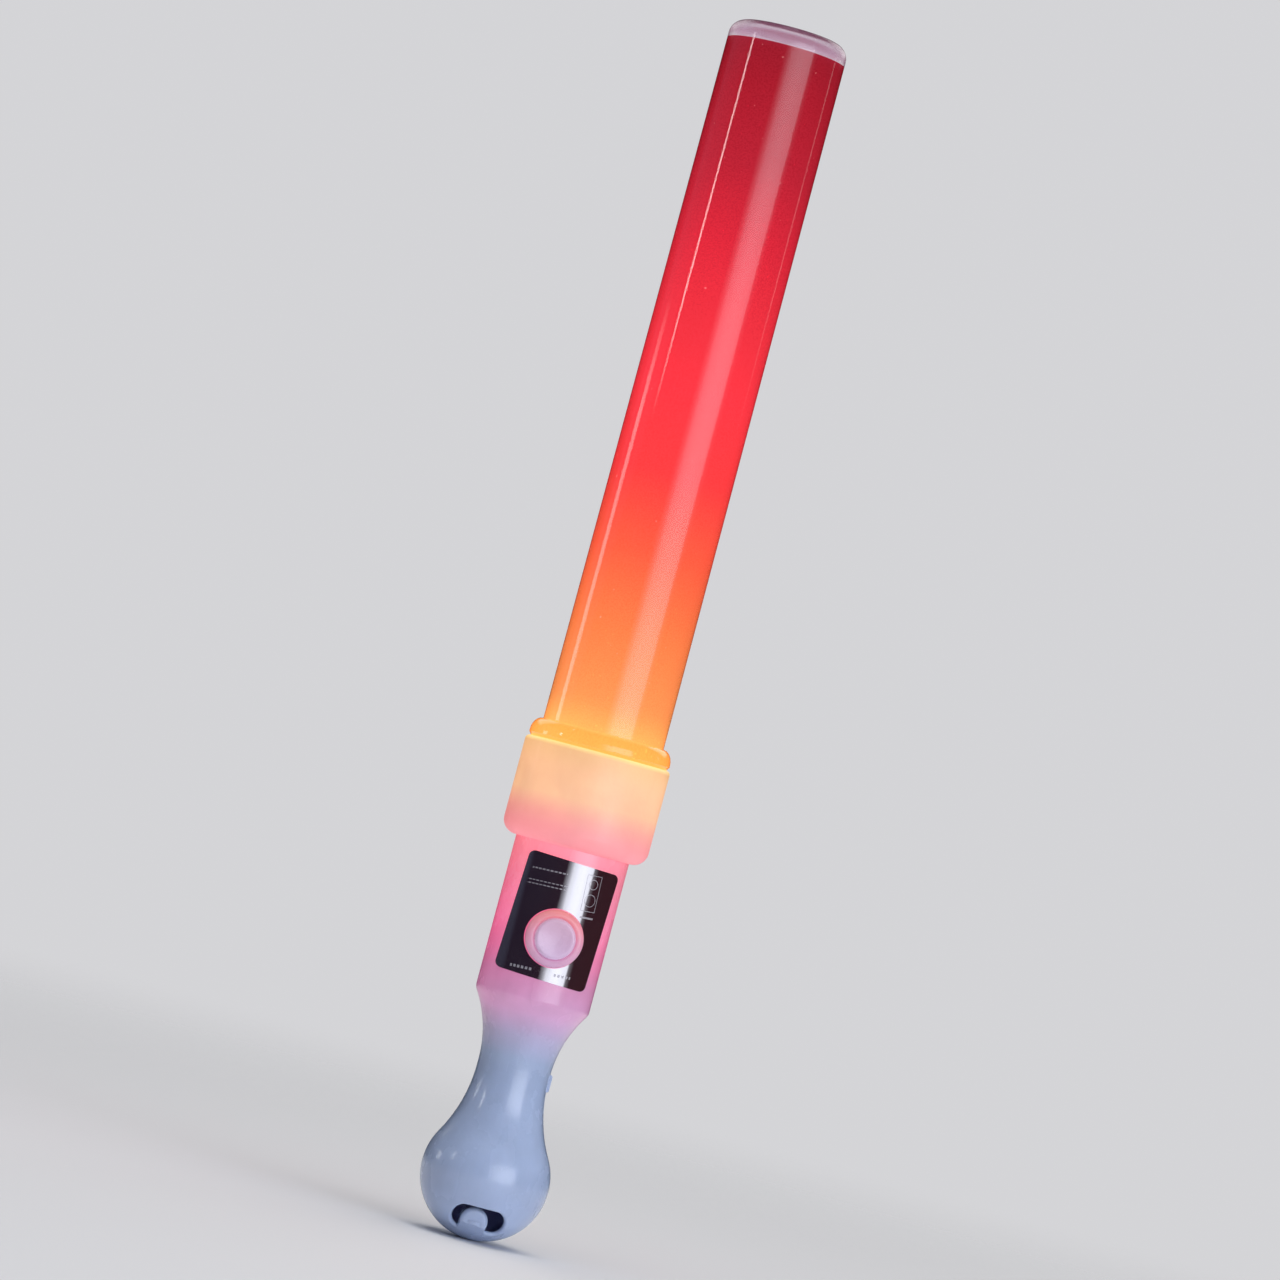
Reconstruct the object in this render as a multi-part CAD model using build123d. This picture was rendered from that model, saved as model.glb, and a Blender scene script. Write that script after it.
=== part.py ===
from build123d import *
from math import asin, cos, degrees, hypot, radians, sin, sqrt
import os

# Traffic baton light: a moulded handle with a ball pommel and a push button, and a clear tube
# with a red sleeve, lit from below. Millimetres. The origin is the pommel's lowest point, +Z runs
# along the baton to the tube's tip, the button faces -Y and +X is on the button side's right.

# ---------------------------------------------------------------- driving dimensions

# Handle outline, from the pommel up
pommel_r = 21.7
neck_r = 12.25
neck_bottom_z = 57.0
neck_length = 2.0
flare_arc_r = 40.0
shoulder_round_r = 4.0
barrel_r = 19.4
handle_wall = 2.0
seam_gap = 0.1

# Standard AAA cells, three of them on an arc behind the axis
cell_r = 5.25
cell_length = 44.5
cell_nub_r = 1.9
cell_nub_height = 0.8
cell_round_r = 0.4
cell_gap = 1.2
cell_step_angle = 60.0
contact_spring_height = 2.7
contact_spring_r = 2.6
contact_spring_turns = 3
contact_wire_r = 0.25
contact_plate = 0.4
contact_strip_width = 6.0

# Battery cradle
cradle_gap = 0.2
cradle_end_wall = 1.5
spine_front_y = -1.5
spine_back_y = 0.2
partition_wall = 0.8
partition_reach = 12.5
support_rib_height = 1.3
support_rib_depth = 1.8
support_rib_gap = 0.1
upper_rib_above_cradle = 1.4
board_boss_length = 4.3
cradle_foot_front = 6.0
cradle_foot_side = 1.75
tab_notch_gap = 0.8
tab_slot_gap = 0.3

# Collar and the tube's bayonet
collar_wall = 4.15
collar_height = 33.2
collar_over_door = 1.45
collar_foot_round_r = 5.0
collar_rim_round_r = 1.5
socket_depth = 18.0
shell_fit = 0.1
snap_rib = 0.5
snap_rib_height = 2.0
core_wall = 1.6
core_depth = 10.0
core_rim_wall = 0.4
lug_count = 3
lug_width_angle = 16.0
lug_height = 3.0
lug_floor = 5.8
lug_reach = 1.7
lug_root = 0.5
bayonet_turn = 40.0
bayonet_gap = 0.3

# Clear tube, red sleeve and seal
tube_step = 1.3
tube_draft = 0.5
tube_wall = 2.2
tube_length = 248.8
tip_round_r = 5.0
spigot_relief = 0.1
spigot_gap = 0.3
spigot_foot_gap = 0.8
flange_proud = 3.45
flange_height = 6.5
flange_foot_bevel = 0.85
flange_bevel_height = 1.2
flange_edge_height = 1.8
flange_bulge = 0.64
flange_bulge_rise = 0.25
sleeve_wall = 0.5
sleeve_gap = 0.25
sleeve_tip_gap = 4.4
sleeve_foot_gap = 0.5
seal_section = 1.35
seal_depth = 1.1
seal_below_flange = 3.7
running_gap = 0.05

# Lamp
lamp_board_gap = 0.4
board_thickness = 1.6
lamp_post_height = 10.8
lamp_post_r = 2.6
lamp_post_x = 12.0
led_r = 2.5
led_flange_r = 2.9
led_flange_height = 1.0
led_height = 8.6
led_hole_gap = 0.2
led_ring_r = 8.5
led_ring_count = 4
reflector_wall = 1.0
reflector_floor_r = 14.5
reflector_height = 12.4
resistor_ring_r = 5.0
resistor_length = 3.2
resistor_width = 1.6
resistor_height = 0.6

# Button and push switch
button_above_shoulder = 21.06
button_cap_r = 6.85
button_gap = 0.25
button_travel = 1.6
button_proud = 4.5
bezel_lip = 0.8
bezel_proud = 3.2
bezel_sleeve_wall = 1.7
bezel_round_r = 1.6
bezel_fit = 0.1
bezel_end_gap = 0.3
cap_round_r = 0.8
cap_flange = 1.05
cap_flange_thickness = 1.0
cap_flange_inset = 4.0
cap_wall = 1.45
cap_dish_r = 22.0
cap_dish_depth = 0.8
switch_width = 8.0
switch_depth = 4.5
plunger_r = 1.6
plunger_height = 2.1
plunger_guide = 0.4
guide_spare = 0.4
switch_bevel = 0.4
switch_board_width = 20.0
switch_board_front_y = -4.1
switch_board_foot = 5.8
switch_board_head = 9.2
board_corner_r = 1.0
board_screw_rise = 3.0
board_screw_drop = 4.0
board_hole_gap = 0.15
chip_width = 5.0
chip_height = 4.0
chip_thickness = 1.6
chip_above_switch = 6.0
chip_bevel = 0.3

# Label film
label_half_angle = 53.0
label_film = 0.15
label_foot_margin = 6.66
label_head_margin = 4.0
label_corner_r = 2.0
label_slant = 2.4
label_hole_gap = 0.3

# Battery door and its captive screw
door_gap = 0.35
door_half_width = 15.55
door_corner_r = 2.0
door_foot_rise = 1.4
door_top_drop = 0.1
tongue_half_width = 6.5
tongue_drop = 10.1
tab_inner_x = 6.0
tab_width = 4.0
tab_rise = 3.1
tab_thickness = 1.15
tab_root = 4.0
tab_root_sink = 0.2
door_rib_count = 3
door_rib_rise = 6.0
door_rib_pitch = 2.6
door_rib_height = 1.1
door_rib_proud = 0.4
door_rib_half_width = 5.5
door_boss_r = 3.6
door_boss_wall = 2.0
door_boss_rise = 0.66
door_screw_below_shoulder = 4.04
nut_width = 5.5
nut_thickness = 1.8
nut_fit = 0.05
nut_gap = 0.5
nut_floor = 1.5
nut_hole_gap = 0.3

# Screws and bosses
screw_core_r = 1.2
screw_thread_r = 1.5
screw_head_r = 2.4
screw_head_height = 1.4
screw_fit = 0.05
shell_screw_length = 13.0
shell_screw_seat_y = 5.0
shell_boss_r = 3.8
shell_screw_above_pommel = 3.3
shell_screw_from_neck = 10.0
pilot_spare = 0.5
head_pocket_gap = 0.3
board_screw_r = 1.0
board_screw_head_r = 1.9
board_screw_head_height = 1.2
board_screw_length = 7.0
board_boss_r = 2.5
cross_slot_width = 0.6
cross_slot_depth = 0.7

# Lanyard window and peg in the pommel, and the pip at the seam of the neck
window_width = 17.4
window_height = 7.4
window_z = 8.6
window_depth = 15.0
window_edge_r = 0.8
peg_r = 4.7
peg_x = -1.1
peg_y = -10.4
peg_top_z = 11.9
peg_face_y = -14.6
peg_round_r = 1.5
pip_length = 6.0
pip_proud = 0.8
pip_depth = 1.8
pip_drop = 0.3

# Leads
lead_r = 0.6
lead_bend_r = 3.6
lead_standoff = 4.3
lead_start_drop = 6.0
lamp_lead_x = 6.0
battery_lead_x = 8.8
terminal_pad = 7.0
terminal_tab_width = 3.0

# ---------------------------------------------------------------- derived heights and radii

neck_top_z = neck_bottom_z + neck_length
# The waist's hollow arc touches the pommel's ball and the foot of the neck.
waist_arc_r = (neck_r**2 + (neck_bottom_z - pommel_r)**2 - pommel_r**2) / (2 * (pommel_r - neck_r))
waist_centre = Vector(neck_r + waist_arc_r, neck_bottom_z)
pommel_centre = Vector(0, pommel_r)
flare_centre = Vector(neck_r + flare_arc_r, neck_top_z)
shoulder_x = barrel_r - shoulder_round_r
shoulder_z = neck_top_z + sqrt((flare_arc_r + shoulder_round_r)**2 - (flare_centre.X - shoulder_x)**2)
shoulder_centre = Vector(shoulder_x, shoulder_z)
barrel_bore_r = barrel_r - handle_wall

cradle_bottom_z = shoulder_z + cradle_gap
lower_plate_z = cradle_bottom_z + cradle_end_wall
cell_floor_z = lower_plate_z + contact_plate
upper_plate_z = cell_floor_z + contact_spring_height + cell_length
cradle_top_z = upper_plate_z + contact_plate + cradle_end_wall
cradle_r = barrel_bore_r - cradle_gap
cell_ring_r = (2 * cell_r + cell_gap) / (2 * sin(radians(cell_step_angle / 2)))
cell_angles = [90 + cell_step_angle, 90, 90 - cell_step_angle]
cell_centres = [(cell_ring_r * cos(radians(a)), cell_ring_r * sin(radians(a))) for a in cell_angles]
cell_points_up = [True, False, True]

door_top_z = upper_plate_z - door_top_drop
door_foot_z = shoulder_z + door_foot_rise
tongue_foot_z = door_foot_z - tongue_drop
door_screw_z = shoulder_z - door_screw_below_shoulder

collar_bottom_z = door_top_z + door_gap + collar_over_door
collar_top_z = collar_bottom_z + collar_height
shell_top_z = collar_top_z - socket_depth
snap_rib_z = shell_top_z - 2 * snap_rib_height
tube_base_r = barrel_r + tube_step
tube_tip_r = tube_base_r - tube_draft
spigot_r = tube_base_r - spigot_relief
socket_r = spigot_r + spigot_gap
collar_r = tube_base_r + collar_wall
flange_r = tube_base_r + flange_proud
tube_bore_r = tube_base_r - tube_wall
spigot_foot_z = shell_top_z + spigot_foot_gap
tip_z = collar_top_z + tube_length
lug_bottom_z = shell_top_z + lug_floor
lug_inner_r = socket_r - lug_reach
lug_angles = [90 + index * 360 / lug_count for index in range(lug_count)]

lamp_board_r = barrel_bore_r - lamp_board_gap
lamp_board_z = cradle_top_z + lamp_post_height
lamp_board_top_z = lamp_board_z + board_thickness
reflector_rim_z = lamp_board_top_z + reflector_height
sleeve_r = tube_bore_r - tube_draft - sleeve_gap
sleeve_foot_z = reflector_rim_z + sleeve_foot_gap
sleeve_tip_z = tip_z - tube_wall - sleeve_tip_gap

button_z = shoulder_z + button_above_shoulder
cap_face_y = -(barrel_r + button_proud)
bezel_face_y = -(barrel_r + bezel_proud)
switch_board_back_y = switch_board_front_y + board_thickness
switch_front_y = switch_board_front_y - switch_depth
plunger_tip_y = switch_front_y - plunger_height
cap_bore_r = button_cap_r - cap_wall
bezel_bore_r = button_cap_r + button_gap
bezel_sleeve_r = bezel_bore_r + bezel_sleeve_wall
bezel_r = bezel_sleeve_r + bezel_lip
cap_flange_front_y = -(barrel_bore_r - cap_flange_inset)
bezel_sleeve_end_y = cap_flange_front_y - bezel_end_gap
switch_board_bottom_z = cradle_bottom_z + switch_board_foot
switch_board_top_z = cradle_top_z - switch_board_head
board_screw_zs = [switch_board_bottom_z + board_screw_rise, switch_board_top_z - board_screw_drop]

label_bottom_z = shoulder_z + label_foot_margin
label_top_z = collar_bottom_z - label_head_margin

shell_screw_zs = [
    pommel_r + shell_screw_above_pommel,
    neck_bottom_z - shell_screw_from_neck,
    neck_top_z + shell_screw_from_neck,
]

UPRIGHT = (Align.CENTER, Align.CENTER, Align.MIN)

# ---------------------------------------------------------------- shape helpers


def column(radius, bottom_z, top_z, x=0, y=0):
    """Upright cylinder between two heights."""
    return Pos(x, y, bottom_z) * Cylinder(radius, top_z - bottom_z, align=UPRIGHT)


def ring(outer_r, inner_r, bottom_z, top_z):
    """Ring round the baton's axis between two heights."""
    return column(outer_r, bottom_z, top_z) - column(inner_r, bottom_z, top_z)


def block(x_range, y_range, z_range):
    """Box between two corners."""
    lows, highs = zip(x_range, y_range, z_range)
    size = [high - low for low, high in zip(lows, highs)]
    return Pos(*lows) * Box(*size, align=Align.MIN)


def rod_y(radius, front_y, back_y, z, x=0):
    """Cylinder that lies front to back."""
    return Pos(x, front_y, z) * Rot(-90, 0, 0) * Cylinder(radius, back_y - front_y, align=UPRIGHT)


def prism_y(outline, front_y, back_y):
    """Outline seen from the front (X right, Z up), made solid from front_y to back_y."""
    return extrude(Plane.XZ.offset(-back_y) * outline, amount=back_y - front_y)


def turned(*edges):
    """Closed outline of (radius, height) edges, turned round the baton's axis."""
    return revolve(Plane.XZ * make_face(list(edges)), Axis.Z)


def sector(outer_r, inner_r, bottom_z, top_z, start_angle, end_angle):
    """Piece of a ring between two angles about +Z, in degrees from +X."""
    middle = Pos((outer_r + inner_r) / 2, (bottom_z + top_z) / 2)
    section = middle * Rectangle(outer_r - inner_r, top_z - bottom_z)
    return Rot(0, 0, start_angle) * revolve(Plane.XZ * section, Axis.Z, end_angle - start_angle)


def screw(core_r, length, head_r, head_height):
    """Cross-head screw that points down -Z, with the underside of its head at the origin."""
    body = column(core_r, -length, 0) + column(head_r, 0, head_height)
    slot_reach = 0.65 * head_r
    for turn in (0, 90):
        slot = block(
            (-slot_reach, slot_reach),
            (-cross_slot_width / 2, cross_slot_width / 2),
            (head_height - cross_slot_depth, head_height + 1),
        )
        body -= Rot(0, 0, turn) * slot
    return body


def handle_solid(inset, top_z):
    """All that lies inside the handle's skin, set in from it by inset."""
    ball_r = pommel_r - inset
    round_r = shoulder_round_r - inset
    ball_end = pommel_centre + (waist_centre - pommel_centre).normalized() * ball_r
    flare_end = shoulder_centre + (flare_centre - shoulder_centre).normalized() * round_r
    neck_foot = (neck_r - inset, neck_bottom_z)
    neck_head = (neck_r - inset, neck_top_z)
    barrel_foot = (barrel_r - inset, shoulder_z)
    barrel_head = (barrel_r - inset, top_z)
    ball = TangentArc((0, inset), ball_end, tangent=(1, 0))
    waist = TangentArc(ball_end, neck_foot, tangent=ball % 1)
    neck = Line(neck_foot, neck_head)
    flare = TangentArc(neck_head, flare_end, tangent=(0, 1))
    shoulder = TangentArc(flare_end, barrel_foot, tangent=flare % 1)
    barrel = Line(barrel_foot, barrel_head)
    lid = Line(barrel_head, (0, top_z))
    axis_line = Line((0, top_z), (0, inset))
    return turned(ball, waist, neck, flare, shoulder, barrel, lid, axis_line)


handle_outside = handle_solid(0, shell_top_z)
handle_inside = handle_solid(handle_wall, shell_top_z + 1)
handle_mid_wall = handle_solid(handle_wall / 2, shell_top_z)

# ---------------------------------------------------------------- handle shells


def handle_half(front):
    """Front or rear half of the handle's wall with its snap rib and the cradle's support ribs."""
    wall = handle_outside - handle_inside
    wall += ring(barrel_r + snap_rib, barrel_bore_r, snap_rib_z, snap_rib_z + snap_rib_height)
    lower_rib_z = shoulder_z - support_rib_gap - support_rib_height
    for rib_z in (lower_rib_z, cradle_top_z + upper_rib_above_cradle):
        rib = ring(barrel_r, barrel_bore_r - support_rib_depth, rib_z, rib_z + support_rib_height)
        wall += rib & handle_mid_wall
    reach = collar_r + 5
    y_range = (-reach, -seam_gap / 2) if front else (seam_gap / 2, reach)
    return wall & block((-reach, reach), y_range, (-1, shell_top_z + 1))


def on_window_rim(point):
    """True for a point on the pommel's outer face at the lanyard window's edge."""
    from_pommel = (point - Vector(0, 0, pommel_r)).length
    beside = abs(point.X) < window_width / 2 + 0.1 and abs(point.Z - window_z) < window_height / 2 + 0.1
    return point.Y < 0 and beside and abs(from_pommel - pommel_r) < 0.05


def front_shell():
    """Front half: button hole, lanyard window and peg, screw bosses, pip at the neck's seam."""
    shell = handle_half(front=True)
    for z in shell_screw_zs:
        shell += rod_y(shell_boss_r, -pommel_r, -seam_gap / 2, z) & handle_mid_wall
        pilot_end = shell_screw_seat_y - shell_screw_length - pilot_spare
        shell -= rod_y(screw_core_r + screw_fit, pilot_end, 1, z)
    shell -= rod_y(bezel_sleeve_r + bezel_fit, -barrel_r - 1, -barrel_bore_r / 2, button_z)

    window = Pos(0, window_z) * SlotOverall(window_width, window_height)
    shell -= prism_y(window, -pommel_r - 1, -pommel_r + window_depth)
    rim = shell.edges().filter_by(lambda edge: on_window_rim(edge.position_at(0.5)))
    shell = fillet(rim, window_edge_r)
    peg_z = peg_top_z - peg_r
    knob = rod_y(peg_r, peg_face_y, peg_y + peg_r, peg_z, peg_x)
    knob = fillet(knob.edges().filter_by(GeomType.CIRCLE).sort_by(Axis.Y)[0], peg_round_r)
    peg = knob + column(peg_r, 0, peg_z, peg_x, peg_y)
    shell += peg & handle_outside

    pip_middle = Pos(neck_r, neck_bottom_z - pip_drop)
    pip = pip_middle * Rot(0, 0, 90) * SlotOverall(pip_length, 2 * pip_proud)
    shell += prism_y(pip, -pip_depth, -seam_gap / 2)
    return shell


def rear_shell():
    """Rear half: deep screw pockets and the opening for the battery door."""
    shell = handle_half(front=False)
    pocket_r = screw_head_r + head_pocket_gap
    for z in shell_screw_zs:
        shell += rod_y(shell_boss_r, seam_gap / 2, pommel_r, z) & handle_mid_wall
        shell -= rod_y(screw_thread_r, -1, shell_screw_seat_y + 1, z)
        shell -= rod_y(pocket_r, shell_screw_seat_y, pommel_r + 1, z)
    return shell - prism_y(door_outline(door_gap), handle_wall, barrel_r + 1)


# ---------------------------------------------------------------- battery door


def door_outline(grow):
    """Door seen along Y: a rounded panel over the cells with a screw tongue below it."""
    panel_height = door_top_z - door_foot_z + 2 * grow
    panel_middle = Pos(0, (door_top_z + door_foot_z) / 2)
    panel = panel_middle * RectangleRounded(2 * (door_half_width + grow), panel_height, door_corner_r)
    tongue_top_z = door_foot_z + 2 * door_corner_r
    tongue_height = tongue_top_z - tongue_foot_z + grow
    tongue_middle = Pos(0, tongue_top_z - tongue_height / 2)
    tongue = RectangleRounded(2 * (tongue_half_width + grow), tongue_height, 1.5 * door_corner_r)
    return panel + tongue_middle * tongue


# The boss stands on the flare's inside, at the boss's lower edge, where the flare is narrowest.
boss_foot_rise = door_screw_z - door_boss_r - neck_top_z
boss_foot_r = flare_centre.X - sqrt(flare_arc_r**2 - boss_foot_rise**2) - handle_wall
door_boss_face_y = sqrt(boss_foot_r**2 - door_boss_r**2) - door_boss_rise
door_screw_seat_y = door_boss_face_y + door_boss_wall


def battery_door():
    """Curved door with two hooked tabs at its top edge and a screw boss on its tongue."""
    wall = handle_outside - handle_inside
    door = wall & prism_y(door_outline(0), handle_wall, barrel_r + 1)
    tab_outer_r = barrel_bore_r - door_gap
    tab_inner_r = tab_outer_r - tab_thickness
    tab_top_z = door_top_z + tab_rise
    tab_root_z = door_top_z - tab_root
    for x in (tab_inner_x, -tab_inner_x - tab_width):
        x_range = (x, x + tab_width)
        hook = ring(tab_outer_r, tab_inner_r, tab_root_z, tab_top_z)
        hook += ring(barrel_bore_r + tab_root_sink, tab_inner_r, tab_root_z, door_top_z - door_gap)
        door += hook & block(x_range, (0, barrel_r), (tab_root_z, tab_top_z))
    rib_x_range = (-door_rib_half_width, door_rib_half_width)
    for rib in range(door_rib_count):
        rib_z = door_foot_z + door_rib_rise + door_rib_pitch * rib
        z_range = (rib_z, rib_z + door_rib_height)
        bar = ring(barrel_r + door_rib_proud, barrel_r - door_rib_proud, *z_range)
        door += bar & block(rib_x_range, (0, barrel_r + 1), z_range)
    door += rod_y(door_boss_r, door_boss_face_y, barrel_r, door_screw_z) & handle_mid_wall
    door -= rod_y(screw_head_r + head_pocket_gap, door_screw_seat_y, barrel_r + 1, door_screw_z)
    return door - rod_y(screw_thread_r, 0, barrel_r, door_screw_z)


door_nut_back_y = door_boss_face_y - nut_gap
door_nut_front_y = door_nut_back_y - nut_thickness


def door_screw():
    """Captive screw in the door's tongue; its tip only just passes through the nut."""
    length = door_screw_seat_y - door_nut_front_y - 0.1
    fastener = screw(screw_core_r, length, screw_head_r, screw_head_height)
    return Pos(0, door_screw_seat_y, door_screw_z) * Rot(-90, 0, 0) * fastener


def door_nut():
    """Square nut in the cradle's foot."""
    half = nut_width / 2
    y_range = (door_nut_front_y, door_nut_back_y)
    nut = block((-half, half), y_range, (door_screw_z - half, door_screw_z + half))
    return nut - rod_y(screw_thread_r, 0, barrel_r, door_screw_z)


# ---------------------------------------------------------------- fasteners


def shell_screws():
    """Three screws, driven from the rear, that close the two shells."""
    fastener = screw(screw_core_r, shell_screw_length, screw_head_r, screw_head_height)
    places = [Pos(0, shell_screw_seat_y, z) * Rot(-90, 0, 0) for z in shell_screw_zs]
    return Compound([(place * fastener).solid() for place in places])


def board_screw():
    """Small screw for the circuit boards."""
    return screw(board_screw_r, board_screw_length, board_screw_head_r, board_screw_head_height)


def switch_board_screws():
    """Two screws that hold the switch board on the cradle, with their heads to the front."""
    places = [Pos(0, switch_board_front_y, z) * Rot(90, 0, 0) for z in board_screw_zs]
    return Compound([(place * board_screw()).solid() for place in places])


def lamp_board_screws():
    """Two screws that hold the lamp board on the cradle's posts."""
    places = [Pos(x, 0, lamp_board_top_z) for x in (-lamp_post_x, lamp_post_x)]
    return Compound([(place * board_screw()).solid() for place in places])


# ---------------------------------------------------------------- battery cradle, cells, contacts


def battery_cradle():
    """Tray for three cells: end walls, a spine, two partitions, board posts and a foot."""
    half_round = block((-cradle_r, cradle_r), (spine_front_y, cradle_r), (cradle_bottom_z, cradle_top_z))
    half_round &= column(cradle_r, cradle_bottom_z, cradle_top_z)
    pocket_range = (lower_plate_z, upper_plate_z + contact_plate)
    tray = half_round - block((-cradle_r, cradle_r), (spine_back_y, cradle_r), pocket_range)
    for side in (-1, 1):
        x_range = (-partition_wall / 2, partition_wall / 2)
        partition = block(x_range, (0, partition_reach), (cell_floor_z, upper_plate_z))
        tray += Rot(0, 0, side * cell_step_angle / 2) * partition
    board_boss_end_y = spine_back_y + board_boss_length
    for z in board_screw_zs:
        tray += rod_y(board_boss_r, switch_board_back_y, board_boss_end_y, z)
        screw_end_y = switch_board_front_y + board_screw_length + pilot_spare
        tray -= rod_y(board_screw_r + screw_fit, switch_board_back_y, screw_end_y, z)
    for x in (-lamp_post_x, lamp_post_x):
        tray += column(lamp_post_r, cradle_top_z - cradle_end_wall, lamp_board_z, x)
        screw_end_z = lamp_board_top_z - board_screw_length - pilot_spare
        tray -= column(board_screw_r + screw_fit, screw_end_z, lamp_board_z, x)

    foot_half = nut_width / 2 + cradle_foot_side
    foot_y_range = (spine_back_y + cradle_foot_front, door_boss_face_y - door_gap)
    tray += block((-foot_half, foot_half), foot_y_range, (door_screw_z - nut_width / 2, cradle_bottom_z))
    nut_half = nut_width / 2 + nut_fit
    nut_y_range = (door_nut_front_y, door_boss_face_y)
    nut_z_range = (door_screw_z - nut_half, door_screw_z + nut_half)
    tray -= block((-nut_half, nut_half), nut_y_range, nut_z_range)
    tray -= rod_y(screw_thread_r + nut_hole_gap, door_nut_front_y - nut_floor, barrel_r, door_screw_z)

    top_wall_range = (upper_plate_z + contact_plate, cradle_top_z)
    notch_y_range = (cell_centres[0][1] + cell_r, cradle_r)
    for x in (tab_inner_x, -tab_inner_x - tab_width):
        tray -= block((x - tab_notch_gap, x + tab_width + tab_notch_gap), notch_y_range, top_wall_range)
    for side, plate_z in ((1, upper_plate_z), (-1, lower_plate_z)):
        slot_x = side * battery_lead_x
        half_slot = terminal_tab_width / 2 + tab_slot_gap
        slot_z_range = (plate_z, plate_z + contact_plate)
        tray -= block((slot_x - half_slot, slot_x + half_slot), (spine_front_y, spine_back_y), slot_z_range)
    return tray


def cell(index):
    """One cell, button end up or down as its place in the series needs."""
    body_length = cell_length - cell_nub_height
    can = column(cell_r, 0, body_length)
    can = fillet(can.edges().filter_by(GeomType.CIRCLE), cell_round_r)
    can += column(cell_nub_r, body_length, cell_length)
    x, y = cell_centres[index]
    if cell_points_up[index]:
        return Pos(x, y, upper_plate_z - cell_length) * can
    return Pos(x, y, cell_floor_z + cell_length) * Rot(180, 0, 0) * can


def contact_spring(index):
    """Coil spring at a cell's flat end."""
    climb = contact_spring_height - 2 * contact_wire_r
    line = Helix(climb / contact_spring_turns, climb, contact_spring_r)
    coil = sweep(Plane(line @ 0, z_dir=line % 0) * Circle(contact_wire_r), line, is_frenet=True)
    x, y = cell_centres[index]
    end_z = cell_floor_z if cell_points_up[index] else upper_plate_z - contact_spring_height
    return Pos(x, y, end_z + contact_wire_r) * coil


def contact_link(first, second, plate_z):
    """Strip that joins two neighbouring cells."""
    (ax, ay), (bx, by) = cell_centres[first], cell_centres[second]
    strip = SlotCenterToCenter(hypot(bx - ax, by - ay), contact_strip_width)
    slant = degrees(asin((by - ay) / hypot(bx - ax, by - ay)))
    place = Pos((ax + bx) / 2, (ay + by) / 2, plate_z) * Rot(0, 0, slant)
    return place * extrude(strip, amount=contact_plate)


def terminal(index, plate_z):
    """End contact of the battery, with a solder tab that passes through the spine."""
    x, y = cell_centres[index]
    side = 1 if x > 0 else -1
    half = terminal_pad / 2
    z_range = (plate_z, plate_z + contact_plate)
    pad = block((x - half, x + half), (y - half, y + half), z_range)
    tab_x = side * battery_lead_x
    tab_half = terminal_tab_width / 2
    tab_front_y = switch_board_front_y - tab_slot_gap
    return pad + block((tab_x - tab_half, tab_x + tab_half), (tab_front_y, y), z_range)


# ---------------------------------------------------------------- button and switch


def button_bezel():
    """Domed ring round the button, with a sleeve through the handle's wall."""
    dome = rod_y(bezel_r, bezel_face_y, -barrel_bore_r / 2, button_z)
    dome = fillet(dome.edges().filter_by(GeomType.CIRCLE).sort_by(Axis.Y)[0], bezel_round_r)
    dome -= column(barrel_r, button_z - 2 * bezel_r, button_z + 2 * bezel_r)
    dome += rod_y(bezel_sleeve_r, -barrel_r, bezel_sleeve_end_y, button_z)
    return dome - rod_y(bezel_bore_r, bezel_face_y - 1, 0, button_z)


def button_cap():
    """Dished push button: a hollow cap with a retaining flange and a stem to the switch."""
    cap = rod_y(button_cap_r, cap_face_y, cap_flange_front_y, button_z)
    cap = fillet(cap.edges().filter_by(GeomType.CIRCLE).sort_by(Axis.Y)[0], cap_round_r)
    flange_back_y = cap_flange_front_y + cap_flange_thickness
    cap += rod_y(button_cap_r + cap_flange, cap_flange_front_y, flange_back_y, button_z)
    cap -= Pos(0, cap_face_y - cap_dish_r + cap_dish_depth, button_z) * Sphere(cap_dish_r)
    cap -= rod_y(cap_bore_r, cap_face_y + cap_wall + cap_dish_depth, 0, button_z)
    return cap + rod_y(plunger_r, cap_face_y + cap_wall, plunger_tip_y, button_z)


def push_switch_body():
    """Push switch on the board, with the plunger's guide hole."""
    half = switch_width / 2
    z_range = (button_z - half, button_z + half)
    body = block((-half, half), (switch_front_y, switch_board_front_y), z_range)
    body = chamfer(body.faces().sort_by(Axis.Y)[0].edges(), switch_bevel)
    guide_end_y = switch_front_y + plunger_guide + button_travel + guide_spare
    return body - rod_y(plunger_r + running_gap, switch_front_y - 1, guide_end_y, button_z)


def push_switch_plunger():
    """The switch's moving pin, always against the button's stem."""
    return rod_y(plunger_r, plunger_tip_y, switch_front_y + plunger_guide, button_z)


def switch_board():
    """Circuit board behind the button."""
    half = switch_board_width / 2
    z_range = (switch_board_bottom_z, switch_board_top_z)
    board = block((-half, half), (switch_board_front_y, switch_board_back_y), z_range)
    board = fillet(board.edges().filter_by(Axis.Y), board_corner_r)
    for z in board_screw_zs:
        board -= rod_y(board_screw_r + board_hole_gap, switch_board_front_y, switch_board_back_y, z)
    return board


def flash_controller():
    """Small chip that makes the lamp flash."""
    z = button_z + switch_width / 2 + chip_above_switch
    y_range = (switch_board_front_y - chip_thickness, switch_board_front_y)
    chip = block((-chip_width / 2, chip_width / 2), y_range, (z - chip_height / 2, z + chip_height / 2))
    return chamfer(chip.faces().sort_by(Axis.Y)[0].edges(), chip_bevel)


# ---------------------------------------------------------------- lamp


def lamp_board():
    """Round board that carries the LEDs under the clear tube."""
    board = column(lamp_board_r, lamp_board_z, lamp_board_top_z)
    for x in (-lamp_post_x, lamp_post_x):
        board -= column(board_screw_r + board_hole_gap, lamp_board_z, lamp_board_top_z, x)
    return board


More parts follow.
